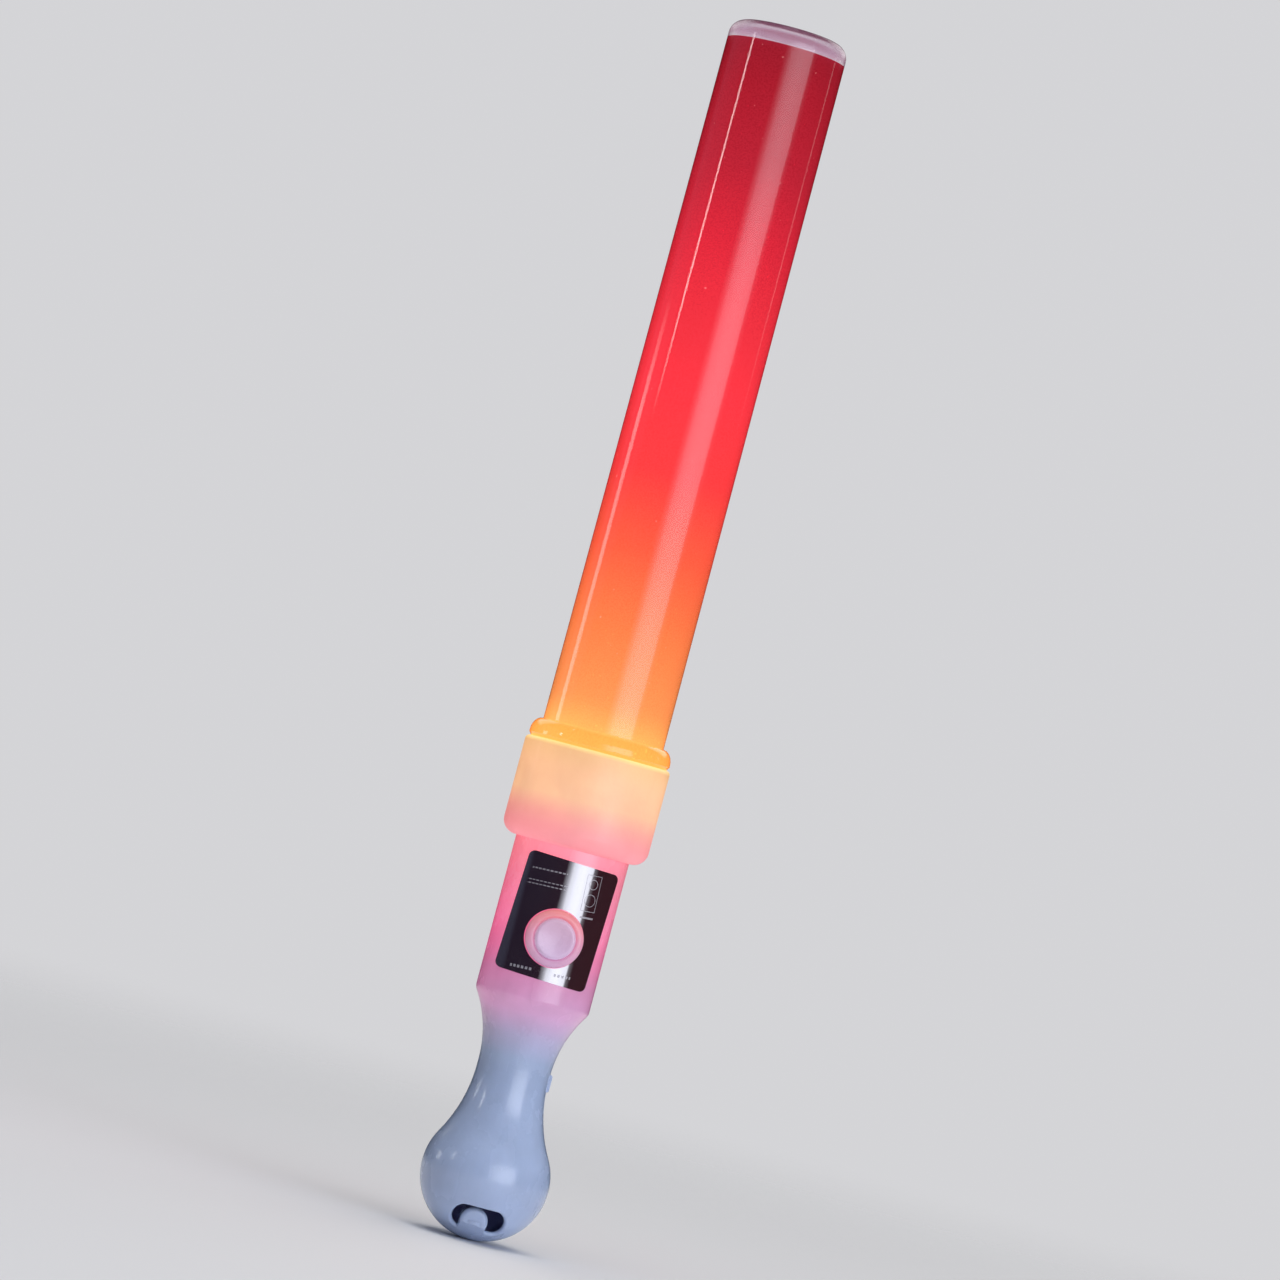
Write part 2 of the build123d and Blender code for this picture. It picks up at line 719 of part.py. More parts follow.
led_angles = [45 + index * 360 / led_ring_count for index in range(led_ring_count)]
led_places = [(0, 0)] + [(led_ring_r * cos(radians(a)), led_ring_r * sin(radians(a))) for a in led_angles]


def leds():
    """Five domed LEDs: one in the middle and a ring of four."""
    dome_z = lamp_board_top_z + led_height - led_r
    lamps = []
    for x, y in led_places:
        lamp = column(led_flange_r, lamp_board_top_z, lamp_board_top_z + led_flange_height, x, y)
        lamp += column(led_r, lamp_board_top_z, dome_z, x, y)
        lamp += Pos(x, y, dome_z) * Sphere(led_r)
        lamps.append(lamp.solid())
    return Compound(lamps)


def led_resistors():
    """One chip resistor for each LED of the ring, under the lamp board."""
    x_range = (-resistor_length / 2, resistor_length / 2)
    y_range = (-resistor_width / 2, resistor_width / 2)
    chip = block(x_range, y_range, (lamp_board_z - resistor_height, lamp_board_z))
    places = [Rot(0, 0, a - 45) * Pos(resistor_ring_r, 0, 0) for a in led_angles]
    return Compound([(place * chip).solid() for place in places])


def reflector():
    """White dish round the LEDs, that throws their light up the tube."""
    rim_inner_r = sleeve_r - sleeve_wall - reflector_wall
    rim_outer_r = rim_inner_r + reflector_wall
    floor_z = lamp_board_top_z + reflector_wall
    floor_r = reflector_floor_r - reflector_wall
    corners = [
        (0, lamp_board_top_z),
        (reflector_floor_r, lamp_board_top_z),
        (rim_outer_r, reflector_rim_z),
        (rim_inner_r, reflector_rim_z),
        (floor_r, floor_z),
        (0, floor_z),
    ]
    dish = turned(*[Line(a, b) for a, b in zip(corners, corners[1:] + corners[:1])])
    for x, y in led_places:
        dish -= column(led_flange_r + led_hole_gap, lamp_board_top_z, floor_z, x, y)
    for x in (-lamp_post_x, lamp_post_x):
        head_top_z = lamp_board_top_z + board_screw_head_height + led_hole_gap
        dish -= column(board_screw_head_r + led_hole_gap, lamp_board_top_z, head_top_z, x)
    return dish


# ---------------------------------------------------------------- collar and tube


def collar_ring():
    """Collar that clamps the shells' tops and takes the tube's bayonet."""
    collar = column(collar_r, collar_bottom_z, collar_top_z)
    rims = collar.edges().filter_by(GeomType.CIRCLE).sort_by(Axis.Z)
    collar = fillet(rims[0], collar_foot_round_r)
    rims = collar.edges().filter_by(GeomType.CIRCLE).sort_by(Axis.Z)
    collar = fillet(rims[-1], collar_rim_round_r)
    collar -= column(barrel_r + shell_fit, collar_bottom_z, collar_top_z)
    groove_r = barrel_r + snap_rib + shell_fit
    groove_top_z = snap_rib_z + snap_rib_height + shell_fit
    collar -= column(groove_r, snap_rib_z - shell_fit, groove_top_z)
    collar -= column(socket_r, shell_top_z, collar_top_z)
    core_outer_r = collar_r - core_wall - core_rim_wall
    collar -= ring(core_outer_r, groove_r + core_wall, shell_top_z - core_depth, shell_top_z)
    for angle in lug_angles:
        half = lug_width_angle / 2
        top_z = lug_bottom_z + lug_height
        collar += sector(socket_r + lug_root, lug_inner_r, lug_bottom_z, top_z, angle - half, angle + half)
    return collar


def clear_tube():
    """Closed clear tube with a foot flange and a slotted spigot for the collar's lugs."""
    flange_widest_z = collar_top_z + flange_edge_height
    flange_top_z = collar_top_z + flange_height
    bevel_top_z = collar_top_z + flange_bevel_height
    flange_mid_z = (flange_widest_z + flange_top_z) / 2 + flange_bulge_rise
    flange_mid = (tube_base_r + flange_bulge * flange_proud, flange_mid_z)
    round_z = tip_z - tip_round_r
    inner_round_r = tip_round_r - tube_wall
    inner_tip_r = tube_tip_r - tube_wall
    cap_r = tube_tip_r - tip_round_r
    corner = sqrt(0.5)
    outer_corner = (cap_r + tip_round_r * corner, round_z + tip_round_r * corner)
    inner_corner = (cap_r + inner_round_r * corner, round_z + inner_round_r * corner)
    tube = turned(
        Polyline(
            (tube_bore_r, spigot_foot_z),
            (spigot_r, spigot_foot_z),
            (spigot_r, collar_top_z),
            (flange_r - flange_foot_bevel, collar_top_z),
            (flange_r, bevel_top_z),
            (flange_r, flange_widest_z),
        ),
        ThreePointArc((flange_r, flange_widest_z), flange_mid, (tube_base_r, flange_top_z)),
        Line((tube_base_r, flange_top_z), (tube_tip_r, round_z)),
        ThreePointArc((tube_tip_r, round_z), outer_corner, (cap_r, tip_z)),
        Polyline((cap_r, tip_z), (0, tip_z), (0, tip_z - tube_wall), (cap_r, tip_z - tube_wall)),
        ThreePointArc((cap_r, tip_z - tube_wall), inner_corner, (inner_tip_r, round_z)),
        Polyline((inner_tip_r, round_z), (tube_bore_r, flange_top_z), (tube_bore_r, spigot_foot_z)),
    )
    seal_z = collar_top_z - seal_below_flange
    seal_half = seal_section / 2 + running_gap
    tube -= ring(spigot_r + 1, spigot_r - seal_depth, seal_z - seal_half, seal_z + seal_half)
    slot_bottom_z = lug_bottom_z - bayonet_gap
    slot_top_z = lug_bottom_z + lug_height + bayonet_gap
    half = lug_width_angle / 2 + degrees(bayonet_gap / spigot_r)
    for angle in lug_angles:
        slot_ends = (angle - bayonet_turn - half, angle + half)
        tube -= sector(spigot_r + 1, tube_bore_r - 1, slot_bottom_z, slot_top_z, *slot_ends)
        entry_ends = (angle - bayonet_turn - half, angle - bayonet_turn + half)
        tube -= sector(spigot_r + 1, tube_bore_r - 1, spigot_foot_z - 1, slot_top_z, *entry_ends)
    return tube


def tube_seal():
    """Rubber ring in the spigot's groove."""
    seal_z = collar_top_z - seal_below_flange
    return Pos(0, 0, seal_z) * Torus(spigot_r - seal_depth + seal_section / 2, seal_section / 2)


def red_sleeve():
    """Rolled red film that colours the light, loose inside the clear tube."""
    return ring(sleeve_r, sleeve_r - sleeve_wall, sleeve_foot_z, sleeve_tip_z)


# ---------------------------------------------------------------- label and leads


def label():
    """Mirror film wrapped on the barrel round the button, stuck on slightly askew."""
    film = ring(barrel_r + label_film, barrel_r, shoulder_z, collar_bottom_z)
    width = 2 * barrel_r * sin(radians(label_half_angle))
    outline = RectangleRounded(width, label_top_z - label_bottom_z, label_corner_r)
    outline = Pos(0, (label_top_z + label_bottom_z) / 2) * Rot(0, 0, -label_slant) * outline
    film &= prism_y(outline, -barrel_r - 1, 0)
    return film - rod_y(bezel_r + label_hole_gap, -barrel_r - 1, 0, button_z)


def lamp_lead(x):
    """Lead from the switch board's front up to the underside of the lamp board."""
    start_z = switch_board_top_z - lead_start_drop
    run_y = switch_board_front_y - lead_standoff
    route = [(x, switch_board_front_y, start_z), (x, run_y, start_z), (x, run_y, lamp_board_z)]
    line = FilletPolyline(*route, radius=lead_bend_r)
    return sweep(Plane(line @ 0, z_dir=line % 0) * Circle(lead_r), line)


def battery_lead(x, bottom_z, top_z):
    """Short lead from a battery terminal to the edge of the switch board."""
    return column(lead_r, bottom_z, top_z, x, switch_board_front_y + board_thickness / 2)


# ---------------------------------------------------------------- files

pieces = {
    "front_shell": front_shell(),
    "rear_shell": rear_shell(),
    "collar_ring": collar_ring(),
    "shell_screws": shell_screws(),
    "battery_door": battery_door(),
    "door_screw": door_screw(),
    "door_nut": door_nut(),
    "battery_cradle": battery_cradle(),
    "contact_link_top": contact_link(0, 1, upper_plate_z),
    "contact_link_bottom": contact_link(1, 2, lower_plate_z),
    "terminal_positive": terminal(2, upper_plate_z),
    "terminal_negative": terminal(0, lower_plate_z),
    "switch_board": switch_board(),
    "switch_board_screws": switch_board_screws(),
    "push_switch_body": push_switch_body(),
    "push_switch_plunger": push_switch_plunger(),
    "flash_controller": flash_controller(),
    "button_bezel": button_bezel(),
    "button_cap": button_cap(),
    "label": label(),
    "lamp_board": lamp_board(),
    "lamp_board_screws": lamp_board_screws(),
    "leds": leds(),
    "led_resistors": led_resistors(),
    "reflector": reflector(),
    "clear_tube": clear_tube(),
    "red_sleeve": red_sleeve(),
    "tube_seal": tube_seal(),
    "lamp_lead_red": lamp_lead(lamp_lead_x),
    "lamp_lead_black": lamp_lead(-lamp_lead_x),
    "battery_lead_red": battery_lead(battery_lead_x, switch_board_top_z, upper_plate_z),
    "battery_lead_black": battery_lead(-battery_lead_x, cell_floor_z, switch_board_bottom_z),
}
for number in range(len(cell_centres)):
    pieces[f"battery_{number + 1}"] = cell(number)
    pieces[f"contact_spring_{number + 1}"] = contact_spring(number)

os.makedirs("parts", exist_ok=True)
for name, piece in pieces.items():
    export_step(piece, f"parts/{name}.step")
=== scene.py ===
import bpy
from math import cos, pi, radians, sin
from mathutils import Matrix, Vector


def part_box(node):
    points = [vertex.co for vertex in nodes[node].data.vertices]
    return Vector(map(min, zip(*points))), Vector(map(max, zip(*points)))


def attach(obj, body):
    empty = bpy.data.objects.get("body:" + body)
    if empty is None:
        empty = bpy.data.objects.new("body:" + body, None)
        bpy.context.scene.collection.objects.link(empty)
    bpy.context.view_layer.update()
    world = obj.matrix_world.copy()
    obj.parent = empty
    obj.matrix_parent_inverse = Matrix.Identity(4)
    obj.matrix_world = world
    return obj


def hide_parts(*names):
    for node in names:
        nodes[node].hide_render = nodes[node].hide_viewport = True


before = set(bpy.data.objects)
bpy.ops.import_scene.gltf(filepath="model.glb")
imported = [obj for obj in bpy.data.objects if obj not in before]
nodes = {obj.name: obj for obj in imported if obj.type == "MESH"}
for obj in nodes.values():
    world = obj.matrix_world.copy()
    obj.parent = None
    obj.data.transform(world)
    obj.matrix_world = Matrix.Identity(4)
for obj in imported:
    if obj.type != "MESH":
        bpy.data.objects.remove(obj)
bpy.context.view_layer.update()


# ------------------------------------------------------------------ handle shells

# Two injection-moulded halves in milky, slightly blue plastic, closed by three screws from the
# rear. The lamp's light through the thin wall is painted on as a glow, pink and then red up the
# barrel, in both the base colour and the emission.

class Wire:
    """A shader socket that takes part in plain arithmetic."""

    def __init__(self, paint, socket):
        self.paint = paint
        self.socket = socket

    def math(self, operation, left, right):
        return self.paint.node("Math", {"operation": operation}, {0: left, 1: right})

    def __add__(self, other):
        return self.math("ADD", self, other)

    def __radd__(self, other):
        return self.math("ADD", other, self)

    def __sub__(self, other):
        return self.math("SUBTRACT", self, other)

    def __rsub__(self, other):
        return self.math("SUBTRACT", other, self)

    def __mul__(self, other):
        return self.math("MULTIPLY", self, other)

    def __rmul__(self, other):
        return self.math("MULTIPLY", other, self)

    def __truediv__(self, other):
        return self.math("DIVIDE", self, other)

    def __rtruediv__(self, other):
        return self.math("DIVIDE", other, self)

    def __pow__(self, other):
        return self.math("POWER", self, other)


class Paint:
    """A material with one Principled shader: fixed finish values by name, the rest by feed()."""

    def __init__(self, name, finish):
        self.material = bpy.data.materials.new(name)
        self.material.use_nodes = True
        self.tree = self.material.node_tree
        self.tree.nodes.clear()
        self.shader = self.tree.nodes.new("ShaderNodeBsdfPrincipled")
        output = self.tree.nodes.new("ShaderNodeOutputMaterial")
        self.tree.links.new(self.shader.outputs[0], output.inputs[0])
        for socket, value in finish.items():
            self.shader.inputs[socket].default_value = value
        self.point = self.node("TexCoord", {}, {}, "Object")
        self.x, self.y, self.z = (self.node("SeparateXYZ", {}, {0: self.point}, axis) for axis in "XYZ")

    def node(self, kind, settings, values, output=0):
        """Adds a node: settings first, a ramp's stops among them, then its sockets' values or links."""
        made = self.tree.nodes.new("ShaderNode" + kind)
        for key, value in settings.items():
            if key == "stops":
                while len(made.color_ramp.elements) < len(value):
                    made.color_ramp.elements.new(1.0)
                for element, (place, colour) in zip(made.color_ramp.elements, value):
                    element.position = place
                    element.color = (*colour, 1.0)
            else:
                setattr(made, key, value)
        for key, value in values.items():
            if isinstance(value, Wire):
                self.tree.links.new(value.socket, made.inputs[key])
            else:
                made.inputs[key].default_value = value
        return Wire(self, made.outputs[output])

    def feed(self, socket, wire):
        self.tree.links.new(wire.socket, self.shader.inputs[socket])

    def noise(self, size, detail=3.0, stretch=(1.0, 1.0, 1.0)):
        """Noise with marks about size metres across, drawn out by stretch along X, Y and Z."""
        scale = [1.0 / part for part in stretch]
        point = self.node("Mapping", {}, {"Vector": self.point, "Scale": scale})
        return self.node("TexNoise", {}, {"Vector": point, "Scale": 1.0 / size, "Detail": detail})

    def span(self, wire, low, high, out_low=0.0, out_high=1.0):
        """Maps low..high of a wire to out_low..out_high, with soft ends."""
        settings = {"interpolation_type": "SMOOTHSTEP"}
        values = {0: wire, 1: low, 2: high, 3: out_low, 4: out_high}
        return self.node("MapRange", settings, values)

    def ramp(self, wire, stops):
        """Colour along a wire, from (value, colour) stops."""
        low, high = stops[0][0], stops[-1][0]
        scaled = [((place - low) / (high - low), colour) for place, colour in stops]
        return self.node("ValToRGB", {"stops": scaled}, {0: (wire - low) / (high - low)})

    def mix(self, factor, first, second, blend="MIX"):
        """Blend of two colours."""
        settings = {"data_type": "RGBA", "blend_type": blend}
        return self.node("Mix", settings, {0: factor, 6: first, 7: second}, 2)

    def grey(self, wire):
        """A number as a grey colour."""
        return self.node("CombineXYZ", {}, {0: wire, 1: wire, 2: wire})

    def bump(self, height, depth):
        """Feeds a relief of depth metres to the shader's Normal."""
        relief = self.node("Bump", {}, {"Strength": 1.0, "Distance": depth, "Height": height}, "Normal")
        self.feed("Normal", relief)


def finish_with(paint, *names):
    """Gives one material to CAD nodes whose shape is already right."""
    for name in names:
        slots = nodes[name].data.materials
        if not slots:
            slots.append(paint.material)
        for index in range(len(slots)):
            slots[index] = paint.material


# The handle's base colour (first table) and emission (second) by height: above about 6 cm both carry the
# lamp's painted glow, pink and then red; below that the blue-white is the plastic's own.
handle_painted_glow_tint = [
    (0.000, (0.430, 0.530, 0.760)),
    (0.062, (0.430, 0.530, 0.760)),
    (0.071, (0.470, 0.470, 0.700)),
    (0.079, (0.520, 0.400, 0.600)),
    (0.100, (0.480, 0.290, 0.420)),
    (0.134, (0.460, 0.280, 0.360)),
]
handle_glow = [
    (0.063, (0.00, 0.00, 0.00)),
    (0.070, (0.07, 0.03, 0.04)),
    (0.078, (0.24, 0.05, 0.12)),
    (0.090, (0.34, 0.04, 0.13)),
    (0.097, (0.58, 0.05, 0.17)),
    (0.104, (0.68, 0.06, 0.18)),
    (0.118, (0.77, 0.10, 0.19)),
    (0.134, (0.84, 0.15, 0.18)),
]


def milky_plastic(name, tint, glow, gloss=1.0, painted_side_shade=0.0):
    """Moulded milky plastic: cloudy in the wall, with flow marks, handling marks and a fine peel. Its base
    colour and emission carry a painted lamp glow by height, dimmed towards +X as painted shade.
    """
    paint = Paint(name, {
        "IOR": 1.49,
        "Coat Roughness": 0.06,
        "Subsurface Weight": 0.15,
        "Subsurface Radius": (0.004, 0.003, 0.003),
        "Subsurface Scale": 1.0,
        "Emission Strength": 1.0,
    })
    cloud = paint.noise(0.014, 4.0)
    flow = paint.noise(0.004, 3.0, (1.0, 1.0, 9.0))
    smear = paint.noise(0.011, 5.0, (1.0, 1.0, 1.8))
    peel = paint.noise(0.0011, 2.0)
    scratch = paint.noise(0.00035, 1.0, (1.0, 1.0, 26.0))

    shade = paint.span(cloud, 0.3, 0.7, 0.95, 1.04) * paint.span(flow, 0.25, 0.75, 0.98, 1.015)
    colour = paint.ramp(paint.z, tint)
    paint.feed("Base Color", paint.mix(1.0, colour, paint.grey(shade), "MULTIPLY"))

    lit = paint.ramp(paint.z, glow)
    # Painted shade: the painted glow is dimmed towards +X, the right side.
    side = 1.0 - painted_side_shade * paint.span(paint.x, -0.018, 0.018)
    glow_mottle_and_side_shade = paint.span(cloud, 0.3, 0.7, 0.92, 1.05) * side
    paint.feed("Emission Color", paint.mix(1.0, lit, paint.grey(glow_mottle_and_side_shade), "MULTIPLY"))

    hairline = paint.span(scratch, 0.70, 0.76)
    rough = 0.18 + 0.34 * (1.0 - gloss)
    paint.feed("Roughness", paint.span(smear, 0.35, 0.7, rough, rough + 0.14) + 0.15 * hairline)
    paint.feed("Coat Weight", paint.span(smear, 0.35, 0.7, 0.5 * gloss, 0.3 * gloss))
    paint.bump(0.7 * peel + 0.3 * flow - 0.25 * hairline, 0.00005)
    return paint


shell_plastic = milky_plastic("handle_plastic", handle_painted_glow_tint, handle_glow, painted_side_shade=0.12)
finish_with(shell_plastic, "front_shell", "rear_shell")


# ------------------------------------------------------------------ screws and nut

# Zinc-plated self-tapping screws with a cross slot, and the square nut that the door's captive
# screw turns into. The plating is a little cloudy and worn bright where a driver has turned it.

def bare_metal(name, colour, roughness, wear):
    """Plated metal with cloudy plating, fine rolling lines and brighter worn patches."""
    paint = Paint(name, {"Metallic": 1.0})
    cloud = paint.noise(0.0016, 4.0)
    line = paint.noise(0.00025, 2.0, (1.0, 1.0, 8.0))
    worn = paint.span(cloud, 0.5, 0.68)
    bright = tuple(min(1.0, part * wear) for part in colour)
    paint.feed("Base Color", paint.mix(worn, (*colour, 1.0), (*bright, 1.0)))
    paint.feed("Roughness", roughness + 0.14 * cloud - 0.1 * worn)
    paint.bump(0.6 * line + 0.4 * cloud, 0.00003)
    return paint


screw_steel = bare_metal("zinc_plated_steel", (0.52, 0.53, 0.55), 0.30, 1.35)
finish_with(screw_steel, "shell_screws", "door_screw", "door_nut", "switch_board_screws", "lamp_board_screws")


# ------------------------------------------------------------------ battery cradle and cells

# White moulded tray with a satin, slightly drawn surface. The three cells are steel cans in a
# plain printed sleeve: a dark green body, a copper band at the button end, bare metal ends.

cradle_plastic = Paint("cradle_plastic", {"IOR": 1.49})
cradle_cloud = cradle_plastic.noise(0.006, 4.0)
cradle_grain = cradle_plastic.noise(0.0006, 2.0)
cradle_plastic.feed(
    "Base Color",
    cradle_plastic.mix(cradle_cloud, (0.70, 0.71, 0.74, 1.0), (0.82, 0.82, 0.83, 1.0)),
)
cradle_plastic.feed("Roughness", cradle_plastic.span(cradle_cloud, 0.3, 0.7, 0.38, 0.52))
cradle_plastic.bump(0.6 * cradle_grain + 0.4 * cradle_cloud, 0.00008)
finish_with(cradle_plastic, "battery_cradle")

cell_band = 0.009
cell_edge = 0.0012
for number in (1, 2, 3):
    cell_name = f"battery_{number}"
    foot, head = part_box(cell_name)
    button_up = number != 2
    cell_print = Paint(f"cell_sleeve_{number}", {"IOR": 1.5, "Coat Roughness": 0.08})
    from_button = (head.z - cell_print.z) if button_up else (cell_print.z - foot.z)
    from_end = (cell_print.z - foot.z) if button_up else (head.z - cell_print.z)
    nub_height = 0.0008
    copper = 1.0 - cell_print.span(from_button, cell_band, cell_band + 0.0002)
    bare_head = 1.0 - cell_print.span(from_button, nub_height + cell_edge, nub_height + cell_edge + 0.0002)
    bare_foot = 1.0 - cell_print.span(from_end, cell_edge, cell_edge + 0.0002)
    bare = bare_head + bare_foot
    scuff = cell_print.noise(0.0005, 3.0, (1.0, 1.0, 14.0))
    scuff_mask = cell_print.span(scuff, 0.62, 0.74)
    body = cell_print.mix(scuff_mask, (0.02, 0.10, 0.07, 1.0), (0.05, 0.16, 0.12, 1.0))
    body = cell_print.mix(copper, body, (0.62, 0.30, 0.13, 1.0))
    cell_print.feed("Base Color", cell_print.mix(bare, body, (0.60, 0.60, 0.62, 1.0)))
    cell_print.feed("Metallic", 0.85 * copper + bare * (1.0 - 0.85 * copper))
    cell_print.feed("Roughness", 0.24 + 0.14 * scuff_mask + 0.06 * bare)
    cell_print.bump(scuff, 0.00002)
    finish_with(cell_print, cell_name)


# ------------------------------------------------------------------ springs and contacts

# Nickel-plated spring wire and strip: coil springs at the cells' flat ends, two strips that
# join neighbouring cells, and two end contacts with solder tabs through the cradle's spine.

contact_metal = bare_metal("nickel_plated_strip", (0.66, 0.63, 0.57), 0.22, 1.25)
finish_with(
    contact_metal,
    "contact_spring_1", "contact_spring_2", "contact_spring_3",
    "contact_link_top", "contact_link_bottom", "terminal_positive", "terminal_negative",
)


# ------------------------------------------------------------------ circuit boards

# Glass-fibre boards under green solder mask, with copper tracks that show through it as lighter
# lines and a woven, slightly uneven surface. The sawn edges are bare, yellowish laminate.

def board_paint(name, across, along, face_low, face_high, face):
    """Solder mask with tracks on the two faces, and bare laminate on the edges between them."""
    paint = Paint(name, {"IOR": 1.5, "Coat Weight": 0.4, "Coat Roughness": 0.12})
    u, v = getattr(paint, across), getattr(paint, along)
    cell = 0.0022
    weave = paint.noise(0.0007, 1.0)
    step = paint.node("Math", {"operation": "SNAP"}, {0: v, 1: 6.0 * cell})
    wander = paint.node("TexWhiteNoise", {"noise_dimensions": "1D"}, {"W": step * 977.0})
    lane = paint.node("Math", {"operation": "PINGPONG"}, {0: u + 0.6 * cell * wander, 1: cell})
    track = 1.0 - paint.span(lane, 0.00030, 0.00042)
    edge = paint.span(getattr(paint, face), face_low + 0.0001, face_low + 0.0002)
    edge = edge * (1.0 - paint.span(getattr(paint, face), face_high - 0.0002, face_high - 0.0001))
    mask = paint.mix(track, (0.012, 0.11, 0.05, 1.0), (0.035, 0.20, 0.09, 1.0))
    paint.feed("Base Color", paint.mix(edge, mask, (0.42, 0.38, 0.20, 1.0)))
    paint.feed("Roughness", 0.26 + 0.12 * weave + 0.3 * edge)
    paint.bump(0.4 * weave + 0.6 * track, 0.00004)
    return paint


switch_low, switch_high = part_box("switch_board")
lamp_low, lamp_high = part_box("lamp_board")
finish_with(board_paint("switch_board_mask", "x", "z", switch_low.y, switch_high.y, "y"), "switch_board")
finish_with(board_paint("lamp_board_mask", "x", "y", lamp_low.z, lamp_high.z, "z"), "lamp_board")


# ------------------------------------------------------------------ switch, chip and resistors

# The push switch, its flash controller and the resistors have black moulded bodies with a fine
# matt grain. The switch's pin and the reflector are white plastic, glossy from the mould.

dark_body = Paint("black_moulding", {"IOR": 1.5})
dark_grain = dark_body.noise(0.0003, 2.0)
dark_cloud = dark_body.noise(0.003, 3.0)
dark_body.feed(
    "Base Color",
    dark_body.mix(dark_cloud, (0.012, 0.012, 0.013, 1.0), (0.032, 0.032, 0.034, 1.0)),
)
dark_body.feed("Roughness", dark_body.span(dark_grain, 0.3, 0.7, 0.42, 0.6))
dark_body.bump(dark_grain, 0.00004)
finish_with(dark_body, "push_switch_body", "flash_controller", "led_resistors")

white_body = Paint("white_moulding", {"IOR": 1.49, "Coat Weight": 0.4, "Coat Roughness": 0.05})
white_cloud = white_body.noise(0.005, 4.0)
white_body.feed("Base Color", white_body.mix(white_cloud, (0.84, 0.82, 0.79, 1.0), (0.90, 0.90, 0.89, 1.0)))
white_body.feed("Roughness", white_body.span(white_cloud, 0.3, 0.7, 0.16, 0.28))
white_body.bump(white_cloud, 0.00006)
finish_with(white_body, "push_switch_plunger", "reflector")


# ------------------------------------------------------------------ leads

# Stranded leads in PVC, red to the positive side and black to the negative one. The skin is
# satin and shows the strands under it as a faint twist.

def lead_paint(name, dark, light):
    """PVC insulation over twisted strands."""
    paint = Paint(name, {"IOR": 1.5})
    strand = 0.0004
    lay = paint.x + paint.y + 0.6 * paint.z
    twist = paint.node("Math", {"operation": "PINGPONG"}, {0: lay, 1: strand})
    grime = paint.noise(0.002, 3.0)
    paint.feed("Base Color", paint.mix(grime, (*dark, 1.0), (*light, 1.0)))
    paint.feed("Roughness", paint.span(grime, 0.3, 0.7, 0.34, 0.5))
    paint.bump(twist / strand, 0.00003)
    return paint


red_insulation = lead_paint("red_insulation", (0.50, 0.02, 0.02), (0.66, 0.04, 0.03))
black_insulation = lead_paint("black_insulation", (0.012, 0.012, 0.012), (0.04, 0.04, 0.04))
finish_with(red_insulation, "lamp_lead_red", "battery_lead_red")
finish_with(black_insulation, "lamp_lead_black", "battery_lead_black")


# ------------------------------------------------------------------ LEDs

# Five 5 mm LEDs with domed epoxy lenses. They are lit: the lens is brightest over its die and
# a little warmer towards its flange.

lens_low, lens_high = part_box("leds")
led_lens = Paint("lit_epoxy", {"IOR": 1.5, "Roughness": 0.06, "Emission Strength": 6.0})
lens_climb = led_lens.span(led_lens.z, lens_low.z, lens_high.z)
led_lens.feed("Base Color", led_lens.mix(lens_climb, (0.95, 0.60, 0.35, 1.0), (1.0, 0.85, 0.65, 1.0)))
led_lens.feed("Emission Color", led_lens.mix(lens_climb, (0.75, 0.28, 0.08, 1.0), (1.0, 0.70, 0.40, 1.0)))
finish_with(led_lens, "leds")


# ------------------------------------------------------------------ battery door

# A curved door in the shells' plastic, hooked in under the collar and held at its tongue by a
# captive screw. It takes the same painted glow as the wall round it.

finish_with(shell_plastic, "battery_door")


# ------------------------------------------------------------------ collar

# A thick moulded ring that clamps the shells' upper ends and takes the tube's bayonet. The lamp
# is inside it, and its light is painted on as a peach glow, palest over the lamp and pinker
# towards its foot.

collar_low, collar_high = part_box("collar_ring")
# Base colour and emission by height both carry the lamp's painted glow; the last glow stops paint a bright
# line along the top edge.
collar_painted_glow_tint = [
    (collar_low.z, (0.34, 0.20, 0.24)),
    (collar_low.z + 0.012, (0.34, 0.24, 0.24)),
    (collar_high.z, (0.34, 0.28, 0.20)),
]
collar_glow = [
    (collar_low.z, (0.74, 0.18, 0.20)),
    (collar_low.z + 0.006, (0.76, 0.21, 0.20)),
    (collar_low.z + 0.010, (0.78, 0.26, 0.19)),
    (collar_low.z + 0.016, (0.82, 0.42, 0.20)),
    (collar_high.z - 0.008, (0.82, 0.41, 0.19)),
    (collar_high.z - 0.0016, (0.76, 0.39, 0.15)),
    (collar_high.z - 0.0006, (0.90, 0.56, 0.17)),
    (collar_high.z, (0.96, 0.66, 0.20)),
]
finish_with(milky_plastic("collar_plastic", collar_painted_glow_tint, collar_glow, gloss=0.25), "collar_ring")


# ------------------------------------------------------------------ red sleeve

# A sheet of translucent red film, rolled so that its edges lap at the rear. It springs out against
# the tube's bore and tapers with it. The lamp's light is painted on as a glow, orange at its foot
# and darkening towards the tip, and its base colour is oranger at the foot as well.

def new_piece(name):
    """The object that an operator has just added, under its own name."""
    piece = bpy.context.object
    piece.name = name
    piece.data.name = name
    return piece


def drawn_line(name, points):
    """A chain of edges through points, extruded from a single vertex."""
    bpy.ops.object.select_all(action="DESELECT")
    bpy.ops.mesh.primitive_plane_add(size=0.001)
    piece = new_piece(name)
    bpy.ops.object.mode_set(mode="EDIT")
    bpy.ops.mesh.merge(type="CENTER")
    bpy.ops.transform.translate(value=points[0])
    for before, after in zip(points, points[1:]):
        step = Vector(after) - Vector(before)
        bpy.ops.mesh.extrude_vertices_move(TRANSFORM_OT_translate={"value": step})
    bpy.ops.object.mode_set(mode="OBJECT")
    return piece


